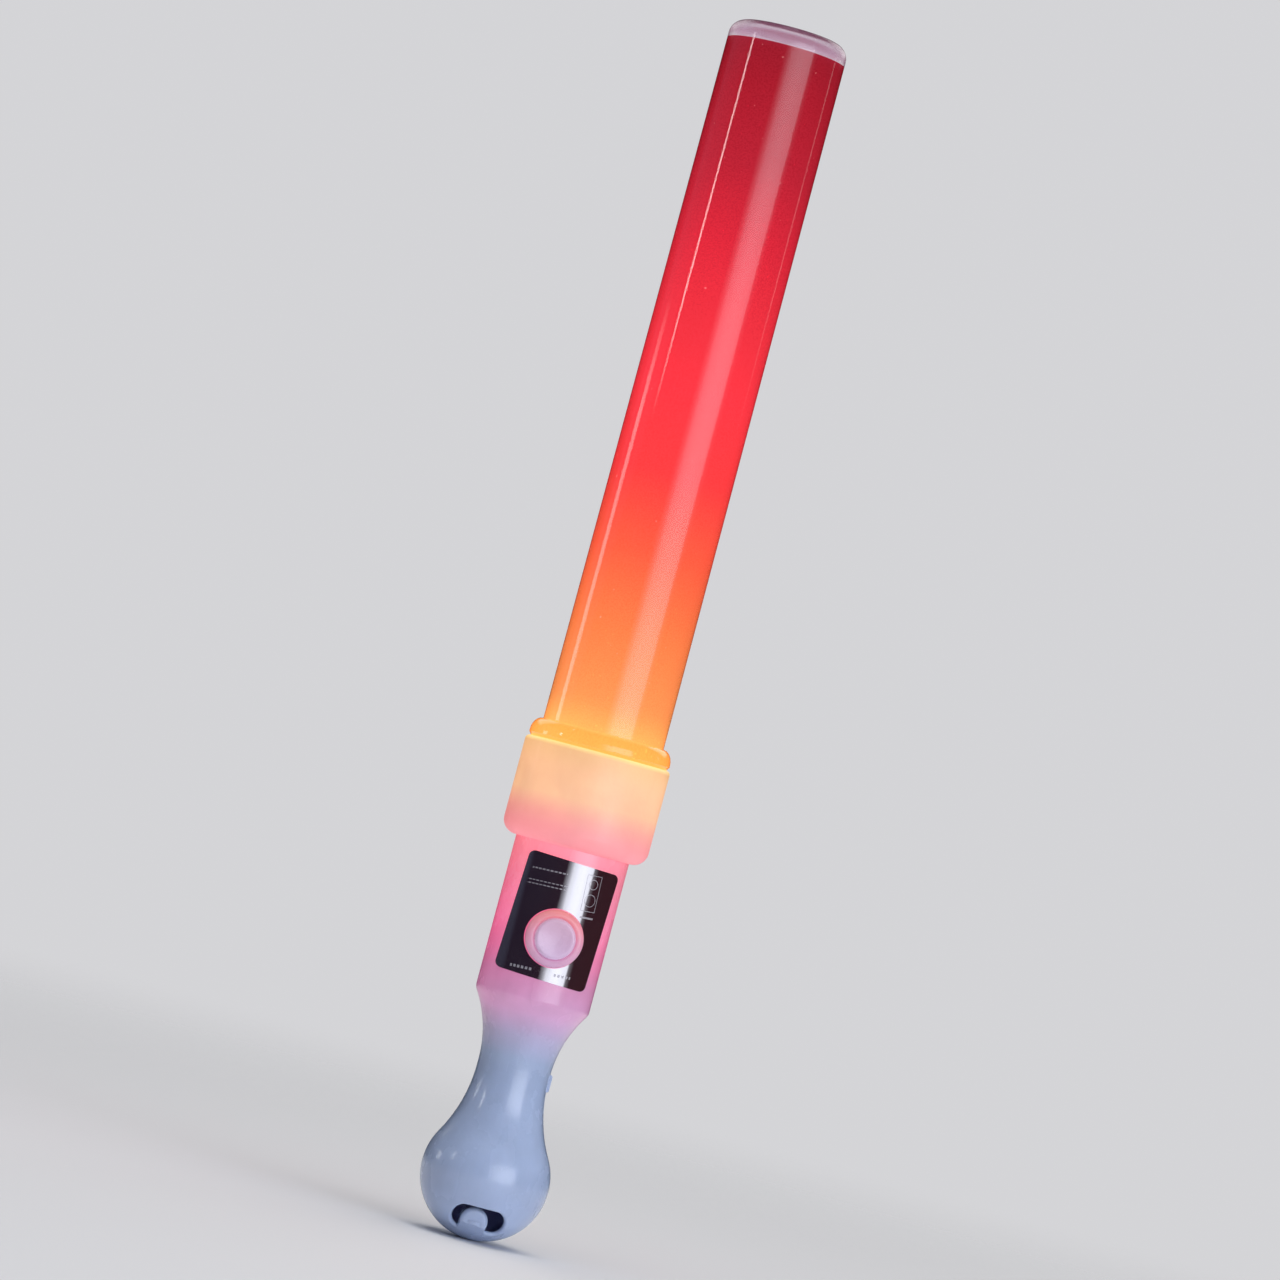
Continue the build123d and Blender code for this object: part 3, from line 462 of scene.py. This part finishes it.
def turned(name, outline, steps, lathe_z=None):
    """A piece turned from a (radius, height) outline round the baton's axis.

    With lathe_z the outline is (radius, depth), turned round a front-to-back axis at that height.
    """
    if lathe_z is None:
        piece = drawn_line(name, [(radius, 0.0, height) for radius, height in outline])
        centre, axis = (0, 0, 0), (0, 0, 1)
    else:
        piece = drawn_line(name, [(radius, depth, lathe_z) for radius, depth in outline])
        centre, axis = (0, 0, lathe_z), (0, 1, 0)
    bpy.ops.object.mode_set(mode="EDIT")
    bpy.ops.mesh.select_all(action="SELECT")
    bpy.ops.mesh.spin(steps=steps, angle=2 * pi, center=centre, axis=axis)
    bpy.ops.mesh.select_all(action="SELECT")
    bpy.ops.mesh.remove_doubles(threshold=0.000001)
    bpy.ops.mesh.normals_make_consistent(inside=False)
    bpy.ops.object.mode_set(mode="OBJECT")
    return piece


def arc(centre, radius, start, end, count):
    """Points of an arc in (radius, height), from start to end degrees."""
    turns = [radians(start + (end - start) * index / count) for index in range(count + 1)]
    return [(centre[0] + radius * cos(turn), centre[1] + radius * sin(turn)) for turn in turns]


def smooth(piece, degrees):
    """Shades smooth up to an angle between faces."""
    bpy.ops.object.select_all(action="DESELECT")
    piece.select_set(True)
    bpy.context.view_layer.objects.active = piece
    bpy.ops.object.shade_smooth_by_angle(angle=radians(degrees))


def modified(piece, kind, **settings):
    """Adds a modifier with its settings and applies it."""
    bpy.ops.object.select_all(action="DESELECT")
    piece.select_set(True)
    bpy.context.view_layer.objects.active = piece
    modifier = piece.modifiers.new(kind.title(), kind)
    for key, value in settings.items():
        setattr(modifier, key, value)
    bpy.ops.object.modifier_apply(modifier=modifier.name)


def finished(piece, paint, body, slot, *replaced):
    """Material, body and the CAD nodes that a new piece stands for; slot is not used."""
    piece.data.materials.clear()
    piece.data.materials.append(paint.material)
    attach(piece, body)
    if replaced:
        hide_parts(*replaced)


sleeve_low, sleeve_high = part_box("red_sleeve")
tube_low, tube_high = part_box("clear_tube")
tube_wall = 0.0022
tube_base_r = 0.0207
tube_tip_r = 0.0202
film_thickness = 0.00022
film_cling = 0.00003
film_lap = 22.0
film_lap_start = 118.0
film_turn = 360.0 + film_lap
film_easing = 60.0
film_step_in = 1.6 * film_thickness
film_steps = 160
film_rows = 24
taper_foot_z = 0.1737

film_r = tube_base_r - tube_wall + film_cling - film_thickness / 2
film_points = []
for index in range(film_steps + 1):
    share = index / film_steps
    turn = radians(film_lap_start + film_turn * share)
    lapped = max(0.0, (share * film_turn - (360.0 - film_easing)) / (film_easing + film_lap))
    radius = film_r - film_step_in * min(1.0, lapped * 1.4)
    film_points.append((radius * cos(turn), radius * sin(turn), sleeve_low.z))
film = drawn_line("red_film_sleeve", film_points)
row_height = (sleeve_high.z - sleeve_low.z) / film_rows
for row in range(film_rows):
    row_z = sleeve_low.z + row * row_height
    for vertex in film.data.vertices:
        vertex.select = abs(vertex.co.z - row_z) < 0.00001
    for edge in film.data.edges:
        edge.select = all(film.data.vertices[index].select for index in edge.vertices)
    bpy.ops.object.mode_set(mode="EDIT")
    bpy.ops.mesh.select_mode(type="EDGE")
    bpy.ops.mesh.extrude_region_move(TRANSFORM_OT_translate={"value": (0, 0, row_height)})
    bpy.ops.mesh.select_mode(type="VERT")
    bpy.ops.object.mode_set(mode="OBJECT")
film_taper = (tube_base_r - tube_tip_r) / (tube_high.z - taper_foot_z)
for vertex in film.data.vertices:
    narrowing = 1.0 - film_taper * max(0.0, vertex.co.z - taper_foot_z) / film_r
    vertex.co.x *= narrowing
    vertex.co.y *= narrowing
modified(film, "SOLIDIFY", thickness=film_thickness, offset=0.0)
smooth(film, 40)

# The film's painted glow by height: orange over the lamp at its foot, then red, then dark towards the tip.
film_glow = [
    (0.160, (0.88, 0.46, 0.11)),
    (0.172, (0.88, 0.42, 0.095)),
    (0.185, (0.88, 0.285, 0.070)),
    (0.208, (0.90, 0.205, 0.048)),
    (0.235, (0.90, 0.100, 0.036)),
    (0.262, (0.88, 0.036, 0.036)),
    (0.290, (0.86, 0.027, 0.042)),
    (0.315, (0.76, 0.020, 0.036)),
    (0.342, (0.60, 0.010, 0.028)),
    (0.368, (0.38, 0.006, 0.020)),
    (0.395, (0.28, 0.003, 0.012)),
    (0.410, (0.20, 0.003, 0.010)),
]
red_film = Paint("red_film", {"Metallic": 0.14, "Specular IOR Level": 0.05, "Emission Strength": 1.0})
film_grain = red_film.noise(0.0005, 3.0)
film_cloud = red_film.noise(0.02, 3.0, (1.0, 1.0, 2.5))
film_speck_glints = red_film.noise(0.0011, 0.0)
film_mottle = red_film.span(film_cloud, 0.3, 0.7, 0.95, 1.03)
film_shade = film_mottle * red_film.span(film_grain, 0.2, 0.8, 0.93, 1.06)
# Bright specks added to the film's painted glow: painted glints.
film_shade = film_shade + 0.3 * red_film.span(film_speck_glints, 0.80, 0.83)
film_lit = red_film.ramp(red_film.z, film_glow)
red_film.feed("Emission Color", red_film.mix(1.0, film_lit, red_film.grey(film_shade), "MULTIPLY"))
# Base colour by height: the film's own red, oranger at the foot with painted lamp light.
red_film.feed("Base Color", red_film.ramp(red_film.z, [
    (sleeve_low.z, (0.40, 0.15, 0.08)),
    (0.25, (0.36, 0.05, 0.06)),
    (sleeve_high.z, (0.32, 0.02, 0.035)),
]))
red_film.feed("Roughness", red_film.span(film_grain, 0.3, 0.7, 0.22, 0.36))
red_film.bump(film_grain, 0.00002)
finished(film, red_film, "tube", "red_film", "red_sleeve")


# ------------------------------------------------------------------ clear tube

# One injection-moulded clear part: a closed tube with a rounded tip, a half-round flange that
# sits on the collar and a spigot with three L-shaped slots for the collar's lugs.

seal_low, seal_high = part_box("tube_seal")
tip_round_r = 0.005
flange_r = tube_high.x
flange_height = 0.0065
flange_edge = 0.0018
flange_bevel = 0.00085
flange_bevel_height = 0.0012
spigot_r = tube_base_r - 0.0001
tube_bore_r = tube_base_r - tube_wall
seal_depth = 0.0011
seal_half = (seal_high.z - seal_low.z) / 2 + 0.00005
seal_z = (seal_high.z + seal_low.z) / 2
gate_r = 0.0016
gate_depth = 0.0004

bulge_z = collar_high.z + flange_edge
cap_r = tube_tip_r - tip_round_r
round_z = tube_high.z - tip_round_r
tube_outline = [
    (tube_bore_r, tube_low.z),
    (spigot_r, tube_low.z),
    (spigot_r, seal_z - seal_half),
    (spigot_r - seal_depth, seal_z - seal_half),
    (spigot_r - seal_depth, seal_z + seal_half),
    (spigot_r, seal_z + seal_half),
    (spigot_r, collar_high.z),
    (flange_r - flange_bevel, collar_high.z),
    (flange_r, collar_high.z + flange_bevel_height),
]
flange_reach = flange_r - tube_base_r
flange_rise = flange_height - flange_edge
for index in range(7):
    turn = radians(90 * index / 6)
    tube_outline.append((tube_base_r + flange_reach * cos(turn), bulge_z + flange_rise * sin(turn)))
for index in range(1, 24):
    share = index / 24
    radius = tube_base_r + (tube_tip_r - tube_base_r) * share
    height = bulge_z + flange_rise
    tube_outline.append((radius, height + (round_z - height) * share))
tube_outline += arc((cap_r, round_z), tip_round_r, 0, 90, 8)
tube_outline += [
    (gate_r + gate_depth, tube_high.z),
    (gate_r, tube_high.z - gate_depth),
    (0.0, tube_high.z - gate_depth),
    (0.0, tube_high.z - tube_wall),
]
tube_outline += arc((cap_r, round_z), tip_round_r - tube_wall, 90, 0, 6)
for index in range(1, 24):
    share = index / 24
    radius = tube_tip_r - tube_wall + (tube_base_r - tube_tip_r) * share
    height = round_z + (collar_high.z + flange_height - round_z) * share
    tube_outline.append((radius, height))
tube_outline += [
    (tube_bore_r, collar_high.z + flange_height),
    (tube_bore_r, tube_low.z),
]
tube = turned("clear_tube_moulding", tube_outline, 128)

lug_width = 16.0
lug_low_z = collar_high.z - 0.018 + 0.0058
lug_high_z = lug_low_z + 0.003
bayonet_turn = 40.0
bayonet_gap = 0.0003
slot_half = lug_width / 2 + 0.9
slot_mouth_z = tube_low.z - 0.001


def sector_cutter(start, end, low, high):
    """A curved block that cuts through the spigot's wall between two angles."""
    middle = (tube_bore_r + spigot_r) / 2
    turn = Matrix.Rotation(radians(start), 3, "Z")
    bpy.ops.object.select_all(action="DESELECT")
    bpy.ops.mesh.primitive_plane_add(size=1.0)
    cutter = new_piece("slot_cutter")
    bpy.ops.object.mode_set(mode="EDIT")
    bpy.ops.transform.resize(value=(2 * (spigot_r - tube_bore_r), high - low, 1.0))
    bpy.ops.transform.rotate(value=-pi / 2, orient_axis="X", center_override=(0, 0, 0))
    bpy.ops.object.mode_set(mode="OBJECT")
    cutter.data.transform(Matrix.Translation((middle, 0, (low + high) / 2)))
    cutter.data.transform(turn.to_4x4())
    bpy.ops.object.mode_set(mode="EDIT")
    bpy.ops.mesh.select_all(action="SELECT")
    bpy.ops.mesh.spin(steps=12, angle=radians(end - start), center=(0, 0, 0), axis=(0, 0, 1))
    bpy.ops.mesh.select_all(action="SELECT")
    bpy.ops.mesh.normals_make_consistent(inside=False)
    bpy.ops.object.mode_set(mode="OBJECT")
    return cutter


for index in range(3):
    lug_angle = 90 + 120 * index
    entry_angle = lug_angle - bayonet_turn
    cuts = [
        (entry_angle - slot_half, lug_angle + slot_half, lug_low_z - bayonet_gap),
        (entry_angle - slot_half, entry_angle + slot_half, slot_mouth_z),
    ]
    for start, end, low in cuts:
        cutter = sector_cutter(start, end, low, lug_high_z + bayonet_gap)
        modified(tube, "BOOLEAN", operation="DIFFERENCE", object=cutter, solver="EXACT")
        bpy.data.objects.remove(cutter)
smooth(tube, 35)

clear_plastic = Paint("clear_plastic", {
    "IOR": 1.49,
    "Transmission Weight": 1.0,
    "Emission Strength": 1.0,
})
clear_smear = clear_plastic.noise(0.016, 5.0, (1.0, 1.0, 2.2))
clear_scratch = clear_plastic.noise(0.0004, 1.0, (1.0, 1.0, 30.0))
clear_wave = clear_plastic.noise(0.02, 2.0, (1.0, 1.0, 6.0))
clear_dust = clear_plastic.noise(0.0013, 0.0)
clear_hair = clear_plastic.span(clear_scratch, 0.72, 0.78)
# Dust specks: rougher, and glowing pink in the emission as painted glints.
dust_and_glint_mask = clear_plastic.span(clear_dust, 0.872, 0.884)
# At the tip the plastic is rougher, tinted purple-grey and given a faint emission: a painted reflection of
# the room seen in it.
tip_tint_z = tube_high.z - 0.0075
clear_tip = clear_plastic.span(clear_plastic.z, tip_tint_z, tip_tint_z + 0.003)
clear_tone = clear_plastic.mix(clear_smear, (0.97, 0.96, 0.97, 1.0), (0.99, 0.985, 0.99, 1.0))
clear_body = clear_plastic.mix(clear_tip, clear_tone, (0.74, 0.66, 0.74, 1.0))
# Painted glow: the flange's base colour turns orange where the lamp below lights it.
painted_flange_glow = clear_plastic.span(clear_plastic.z, bulge_z + flange_rise, bulge_z + 0.7 * flange_rise)
clear_plastic.feed("Base Color", clear_plastic.mix(painted_flange_glow, clear_body, (0.97, 0.76, 0.50, 1.0)))
clear_gloss = clear_plastic.span(clear_smear, 0.45, 0.75, 0.02, 0.06)
clear_gloss = clear_gloss + 0.1 * clear_hair + 0.2 * dust_and_glint_mask
clear_plastic.feed("Roughness", clear_gloss + 0.16 * clear_tip)
# Painted glow in the emission: orange in the spigot and flange over the lamp, none up the tube, a faint
# purple at the tip.
clear_glow = clear_plastic.ramp(clear_plastic.z, [
    (tube_low.z, (0.40, 0.10, 0.02)),
    (0.167, (0.34, 0.08, 0.012)),
    (0.174, (0.26, 0.055, 0.01)),
    (0.182, (0.03, 0.006, 0.001)),
    (0.200, (0.0, 0.0, 0.0)),
    (0.4075, (0.0, 0.0, 0.0)),
    (0.4110, (0.045, 0.010, 0.022)),
    (tube_high.z, (0.020, 0.008, 0.014)),
])
clear_plastic.feed("Emission Color", clear_plastic.mix(0.35 * dust_and_glint_mask, clear_glow, (0.75, 0.42, 0.42, 1.0)))
clear_plastic.bump(clear_wave - 0.03 * clear_hair, 0.00005)
finished(tube, clear_plastic, "tube", "clear_plastic", "clear_tube")

# The rubber ring in the spigot's groove is soft, pale silicone with dust.
seal_rubber = Paint("silicone_rubber", {"IOR": 1.41})
seal_dust = seal_rubber.noise(0.0008, 4.0)
seal_rubber.feed("Base Color", seal_rubber.mix(seal_dust, (0.55, 0.42, 0.34, 1.0), (0.70, 0.60, 0.52, 1.0)))
seal_rubber.feed("Roughness", seal_rubber.span(seal_dust, 0.3, 0.7, 0.45, 0.65))
seal_rubber.bump(seal_dust, 0.00003)
finish_with(seal_rubber, "tube_seal")


# ------------------------------------------------------------------ button and its bezel

# The push button is a shallow dish of the same milky plastic with a rounded rim, in a domed ring
# that is pressed through the handle's front wall. The lamp above is painted on as a glow that
# reddens the ring's upper side and warms the cap.

cap_low, cap_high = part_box("button_cap")
cap_flange_r = cap_high.x
button_z = (cap_low.z + cap_high.z) / 2
cap_flange_step = 0.00105
cap_r = cap_flange_r - cap_flange_step
cap_face_y = cap_low.y
flange_y = -0.0134
bezel_low, bezel_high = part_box("button_bezel")
bezel_r = bezel_high.x
bezel_face_y = bezel_low.y
bezel_bore_r = cap_r + 0.00025
bezel_sleeve_r = bezel_bore_r + 0.0017
ring_foot_y = -0.0160
sleeve_foot_y = -0.0186
barrel_r = 0.0194
crest_r = bezel_bore_r + 0.3 * (bezel_r - bezel_bore_r)
outer_reach, outer_fall = bezel_r - crest_r, 0.0019
inner_reach, inner_fall = crest_r - bezel_bore_r, 0.0005

ring_outline = [(bezel_bore_r, ring_foot_y), (bezel_r, ring_foot_y)]
for index in range(9):
    turn = radians(90 * index / 8)
    ring_outline.append((crest_r + outer_reach * cos(turn), bezel_face_y + outer_fall * (1 - sin(turn))))
for index in range(1, 7):
    turn = radians(90 + 90 * index / 6)
    ring_outline.append((crest_r + inner_reach * cos(turn), bezel_face_y + inner_fall * (1 - sin(turn))))
ring_outline.append((bezel_bore_r, ring_foot_y))
bezel = turned("button_bezel_ring", ring_outline, 96, lathe_z=button_z)
wall_low, wall_high = button_z - 0.014, button_z + 0.014
barrel_outline = [(0.0, wall_low), (barrel_r, wall_low), (barrel_r, wall_high), (0.0, wall_high)]
barrel_cutter = turned("barrel_cutter", barrel_outline, 128)
modified(bezel, "BOOLEAN", operation="DIFFERENCE", object=barrel_cutter, solver="EXACT")
bpy.data.objects.remove(barrel_cutter)
sleeve_outline = [
    (bezel_bore_r, sleeve_foot_y), (bezel_sleeve_r, sleeve_foot_y), (bezel_sleeve_r, bezel_high.y),
    (bezel_bore_r, bezel_high.y), (bezel_bore_r, sleeve_foot_y),
]
bezel_sleeve = turned("bezel_sleeve", sleeve_outline, 96, lathe_z=button_z)
bpy.ops.object.select_all(action="DESELECT")
bezel_sleeve.select_set(True)
bezel.select_set(True)
bpy.context.view_layer.objects.active = bezel
bpy.ops.object.join()
smooth(bezel, 40)
# Base colour and emission by height carry the lamp's painted glow, reddest on the ring's upper side.
bezel_painted_glow_tint = [
    (bezel_low.z, (0.46, 0.33, 0.48)),
    (button_z, (0.44, 0.27, 0.37)),
    (bezel_high.z, (0.44, 0.20, 0.22)),
]
bezel_glow = [
    (bezel_low.z, (0.24, 0.10, 0.17)),
    (button_z, (0.36, 0.11, 0.16)),
    (bezel_high.z, (0.54, 0.13, 0.12)),
]
finished(
    bezel, milky_plastic("bezel_plastic", bezel_painted_glow_tint, bezel_glow, gloss=0.6),
    "handle", "milky_plastic", "button_bezel",
)

dish_r = 0.0052
dish_depth = 0.00062
dish_spread_r = 0.0056
rim_round_r = 0.00105
rim_set_back = 0.00002
flange_back_y = flange_y + 0.001
cap_inner_r = cap_r - 0.00145
cap_roof_y = cap_face_y + 0.00225
stem_r = 0.0016

cap_outline = [(0.0, cap_face_y + dish_depth)]
for index in range(1, 9):
    reach = dish_r * index / 8
    cap_outline.append((reach, cap_face_y + dish_depth * (1 - (reach / dish_spread_r) ** 2)))
for index in range(9):
    turn = radians(100 - 100 * index / 8)
    rim_depth = rim_round_r * (1 - sin(turn)) + rim_set_back
    cap_outline.append((cap_r - rim_round_r + rim_round_r * cos(turn), cap_face_y + rim_depth))
cap_outline += [
    (cap_r, flange_y),
    (cap_flange_r, flange_y),
    (cap_flange_r, flange_back_y),
    (cap_inner_r, flange_back_y),
    (cap_inner_r, cap_roof_y),
    (stem_r, cap_roof_y),
    (stem_r, cap_high.y),
    (0.0, cap_high.y),
]
cap = turned("button_cap_dish", cap_outline, 96, lathe_z=button_z)
smooth(cap, 40)
# The cap's base colour and emission by height carry a faint painted glow, warmer at its top.
cap_painted_glow_tint = [
    (button_z - cap_r, (0.50, 0.40, 0.56)),
    (button_z + cap_r, (0.50, 0.36, 0.48)),
]
cap_glow = [
    (button_z - cap_r, (0.20, 0.12, 0.19)),
    (button_z + cap_r, (0.26, 0.13, 0.18)),
]
finished(
    cap, milky_plastic("button_plastic", cap_painted_glow_tint, cap_glow, gloss=0.8),
    "button", "milky_plastic", "button_cap",
)


# ------------------------------------------------------------------ label

# A stuck-on panel of black mirror film round the button. It carries plain silver print: rows of
# short rules, an outlined frame with two rings in it, and a few ticks along its foot.

label_low, label_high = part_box("label")
label_r = 0.01955
label_mid_z = (label_low.z + label_high.z) / 2
label_slant = radians(2.4)
mirror_film = Paint("mirror_film", {"IOR": 1.5, "Emission Strength": 1.0})
film_angle = mirror_film.node("Math", {"operation": "ARCTAN2"}, {0: mirror_film.x, 1: 0.0 - mirror_film.y})
film_arc = film_angle * label_r
film_rise = mirror_film.z - label_mid_z
print_u = film_arc * cos(label_slant) + film_rise * sin(label_slant)
print_v = film_rise * cos(label_slant) - film_arc * sin(label_slant)


def near(wire, target, reach):
    """1 where a wire is within reach of target."""
    return mirror_film.node("Math", {"operation": "COMPARE"}, {0: wire, 1: target, 2: reach})


def either(first, second):
    """The larger of two masks."""
    return first.math("MAXIMUM", first, second)


def rule(u, v, width, height):
    """A solid printed bar."""
    return near(print_u, u, width / 2) * near(print_v, v, height / 2)


rule_line = 0.00020
stroke_pitch = 0.0014
stroke_phase = mirror_film.node("Math", {"operation": "FRACT"}, {0: (print_u + 0.05) / stroke_pitch})
strokes = near(stroke_phase, 0.5, 0.34)
printed = rule(-0.0068, 0.0158, 0.0125, 0.0005) * strokes
for row, (u, width) in enumerate([(-0.0066, 0.0146), (-0.0070, 0.0138)]):
    printed = either(printed, rule(u, 0.0118 - 0.0012 * row, width, 0.00035) * strokes)

frame_u, frame_v = 0.0090, 0.0112
frame_width, frame_height = 0.0054, 0.0120
for side in (-1, 1):
    printed = either(printed, rule(frame_u + side * frame_width / 2, frame_v, rule_line, frame_height))
    printed = either(printed, rule(frame_u, frame_v + side * frame_height / 2, frame_width, rule_line))
ring_u = print_u - frame_u
for ring_v, ring_r in ((0.0142, 0.0016), (0.0088, 0.0020)):
    drop = print_v - ring_v
    reach = (ring_u * ring_u + drop * drop) ** 0.5
    printed = either(printed, near(reach, ring_r, rule_line / 2))
printed = either(printed, rule(frame_u + 0.0002, 0.0030, 0.0050, 0.0006))
printed = either(printed, rule(0.0052, -0.0176, 0.0060, 0.0009) * near(stroke_phase, 0.5, 0.3))
printed = either(printed, rule(-0.0092, -0.0172, 0.0080, 0.0009) * near(stroke_phase, 0.5, 0.3))

film_dust = mirror_film.noise(0.0009, 4.0)
film_wave = mirror_film.noise(0.009, 2.0)
silver = mirror_film.mix(film_dust, (0.34, 0.34, 0.37, 1.0), (0.52, 0.52, 0.56, 1.0))
mirror_film.feed("Base Color", mirror_film.mix(printed, (0.31, 0.305, 0.31, 1.0), silver))
mirror_film.feed("Metallic", 0.96 - 0.60 * printed)
# The emission is a faint painted reflection of the room: purple to the left, redder to the right.
painted_reflection_side = mirror_film.span(film_arc, -0.010, 0.014)
mirror_film.feed(
    "Emission Color",
    mirror_film.mix(painted_reflection_side, (0.012, 0.006, 0.015, 1.0), (0.024, 0.003, 0.007, 1.0)),
)
mirror_film.feed("Roughness", mirror_film.span(film_dust, 0.5, 0.8, 0.03, 0.16) + 0.3 * printed)
mirror_film.bump(film_wave, 0.00006)
finish_with(mirror_film, "label")


# ------------------------------------------------------------------ studio

# A plain pale floor that fades into an even pale surround, a soft key from the front right, soft
# fills from both sides, behind and above, and three strips that draw lines down the tube.

camera_azimuth = -5.4
camera_elevation = -1.7
camera_distance = 2.1
camera_roll = 14.975
camera_lens = 177.37
aim_height = 0.20704
aim_right = 0.00367

surround = (0.66, 0.66, 0.68)
world = bpy.data.worlds.new("pale_surround")
world.use_nodes = True
world.node_tree.nodes["Background"].inputs["Color"].default_value = (*surround, 1.0)
world.node_tree.nodes["Background"].inputs["Strength"].default_value = 1.0
world.cycles_visibility.glossy = False
world.cycles_visibility.diffuse = False
bpy.context.scene.world = world
bpy.context.scene.view_settings.view_transform = "Standard"

floor_r = 1.5
bpy.ops.object.select_all(action="DESELECT")
bpy.ops.mesh.primitive_circle_add(vertices=96, radius=floor_r, fill_type="NGON")
floor = new_piece("studio_floor")
floor_paint = Paint("pale_floor", {"Base Color": (0.88, 0.88, 0.90, 1.0), "Roughness": 0.75})
from_middle = (floor_paint.x * floor_paint.x + floor_paint.y * floor_paint.y) ** 0.5
floor_paint.feed("Alpha", 1.0 - floor_paint.span(from_middle, 0.10, 0.9 * floor_r))
floor.data.materials.append(floor_paint.material)


def soft_light(name, azimuth, elevation, distance, size, radiance, across=None, aim=0.25):
    """A rectangular softbox aimed at the baton; across is its brightness from edge to edge."""
    turn, lift = radians(azimuth), radians(elevation)
    way = Vector((sin(turn) * cos(lift), -cos(turn) * cos(lift), sin(lift)))
    bpy.ops.object.light_add(type="AREA", location=Vector((0, 0, aim)) + way * distance)
    light = bpy.context.object
    light.name = name
    light.rotation_euler = way.to_track_quat("Z", "Y").to_euler()
    light.data.shape = "RECTANGLE"
    light.data.size, light.data.size_y = size
    light.data.energy = radiance * pi * size[0] * size[1]
    light.visible_camera = False
    light.visible_transmission = False
    light.data.use_nodes = True
    tree = light.data.node_tree
    place = tree.nodes.new("ShaderNodeSeparateXYZ")
    tree.links.new(tree.nodes.new("ShaderNodeNewGeometry").outputs["Parametric"], place.inputs[0])
    edge = [(0.0, 0.0), (0.2, 1.0), (0.8, 1.0), (1.0, 0.0)]
    strengths = []
    for axis, stops in (("X", across or edge), ("Y", edge)):
        ramp = tree.nodes.new("ShaderNodeValToRGB")
        while len(ramp.color_ramp.elements) < len(stops):
            ramp.color_ramp.elements.new(1.0)
        for element, (where, value) in zip(ramp.color_ramp.elements, stops):
            element.position = where
            element.color = (value, value, value, 1.0)
        tree.links.new(place.outputs[axis], ramp.inputs[0])
        strengths.append(ramp)
    product = tree.nodes.new("ShaderNodeMath")
    product.operation = "MULTIPLY"
    for index, ramp in enumerate(strengths):
        tree.links.new(ramp.outputs[0], product.inputs[index])
    tree.links.new(product.outputs[0], tree.nodes["Emission"].inputs["Strength"])
    return light


key_across = [
    (0.0, 0.0), (0.12, 0.22), (0.19, 0.45), (0.24, 0.72), (0.40, 0.95),
    (0.55, 1.0), (0.80, 0.85), (0.86, 0.12), (1.0, 0.0),
]
key = soft_light("key_softbox", camera_azimuth + 31, 3, 1.8, (2.3, 1.3), 3.6, across=key_across, aim=0.32)
key.data.color = (0.86, 0.90, 1.0)
left_high = soft_light("left_high_strip", camera_azimuth - 69.4, 8, 1.8, (0.15, 0.42), 9.0, aim=0.36)
left_high.visible_diffuse = False
left_low = soft_light("left_low_strip", camera_azimuth - 101.5, 2, 1.8, (0.40, 0.34), 3.0, aim=0.24)
left_low.visible_diffuse = False
right_strip = soft_light("right_strip", camera_azimuth + 112, 8, 1.8, (0.14, 0.5), 0.9, aim=0.4)
right_strip.visible_diffuse = False
top = soft_light("top_softbox", 0, 80, 1.9, (2.4, 2.4), 2.9)
top.visible_glossy = False
left_fill = soft_light("left_fill", camera_azimuth - 100, 12, 2.0, (2.2, 1.6), 0.16)
left_fill.data.color = (0.55, 0.68, 1.0)
right_fill = soft_light("right_fill", camera_azimuth + 80, 12, 2.0, (1.8, 1.6), 0.75)
right_fill.visible_glossy = False
soft_light("back_left_fill", -150, 30, 2.2, (1.6, 1.4), 1.0)
soft_light("back_right_fill", 145, 30, 2.2, (1.6, 1.4), 1.2)

turn, lift = radians(camera_azimuth), radians(camera_elevation)
back = Vector((sin(turn) * cos(lift), -cos(turn) * cos(lift), sin(lift)))
right = Vector((0, 0, 1)).cross(back).normalized()
up = back.cross(right)
roll = radians(camera_roll)
leaning_right = right * cos(roll) + up * sin(roll)
leaning_up = up * cos(roll) - right * sin(roll)
bpy.ops.object.camera_add()
camera = bpy.context.object
camera.name = "camera"
aim = Vector((0, 0, aim_height)) + right * aim_right
camera.matrix_world = Matrix.Translation(aim + back * camera_distance) @ Matrix(
    (leaning_right, leaning_up, back)
).transposed().to_4x4()
camera.data.lens = camera_lens
camera.data.sensor_width = 36.0
bpy.context.scene.camera = camera
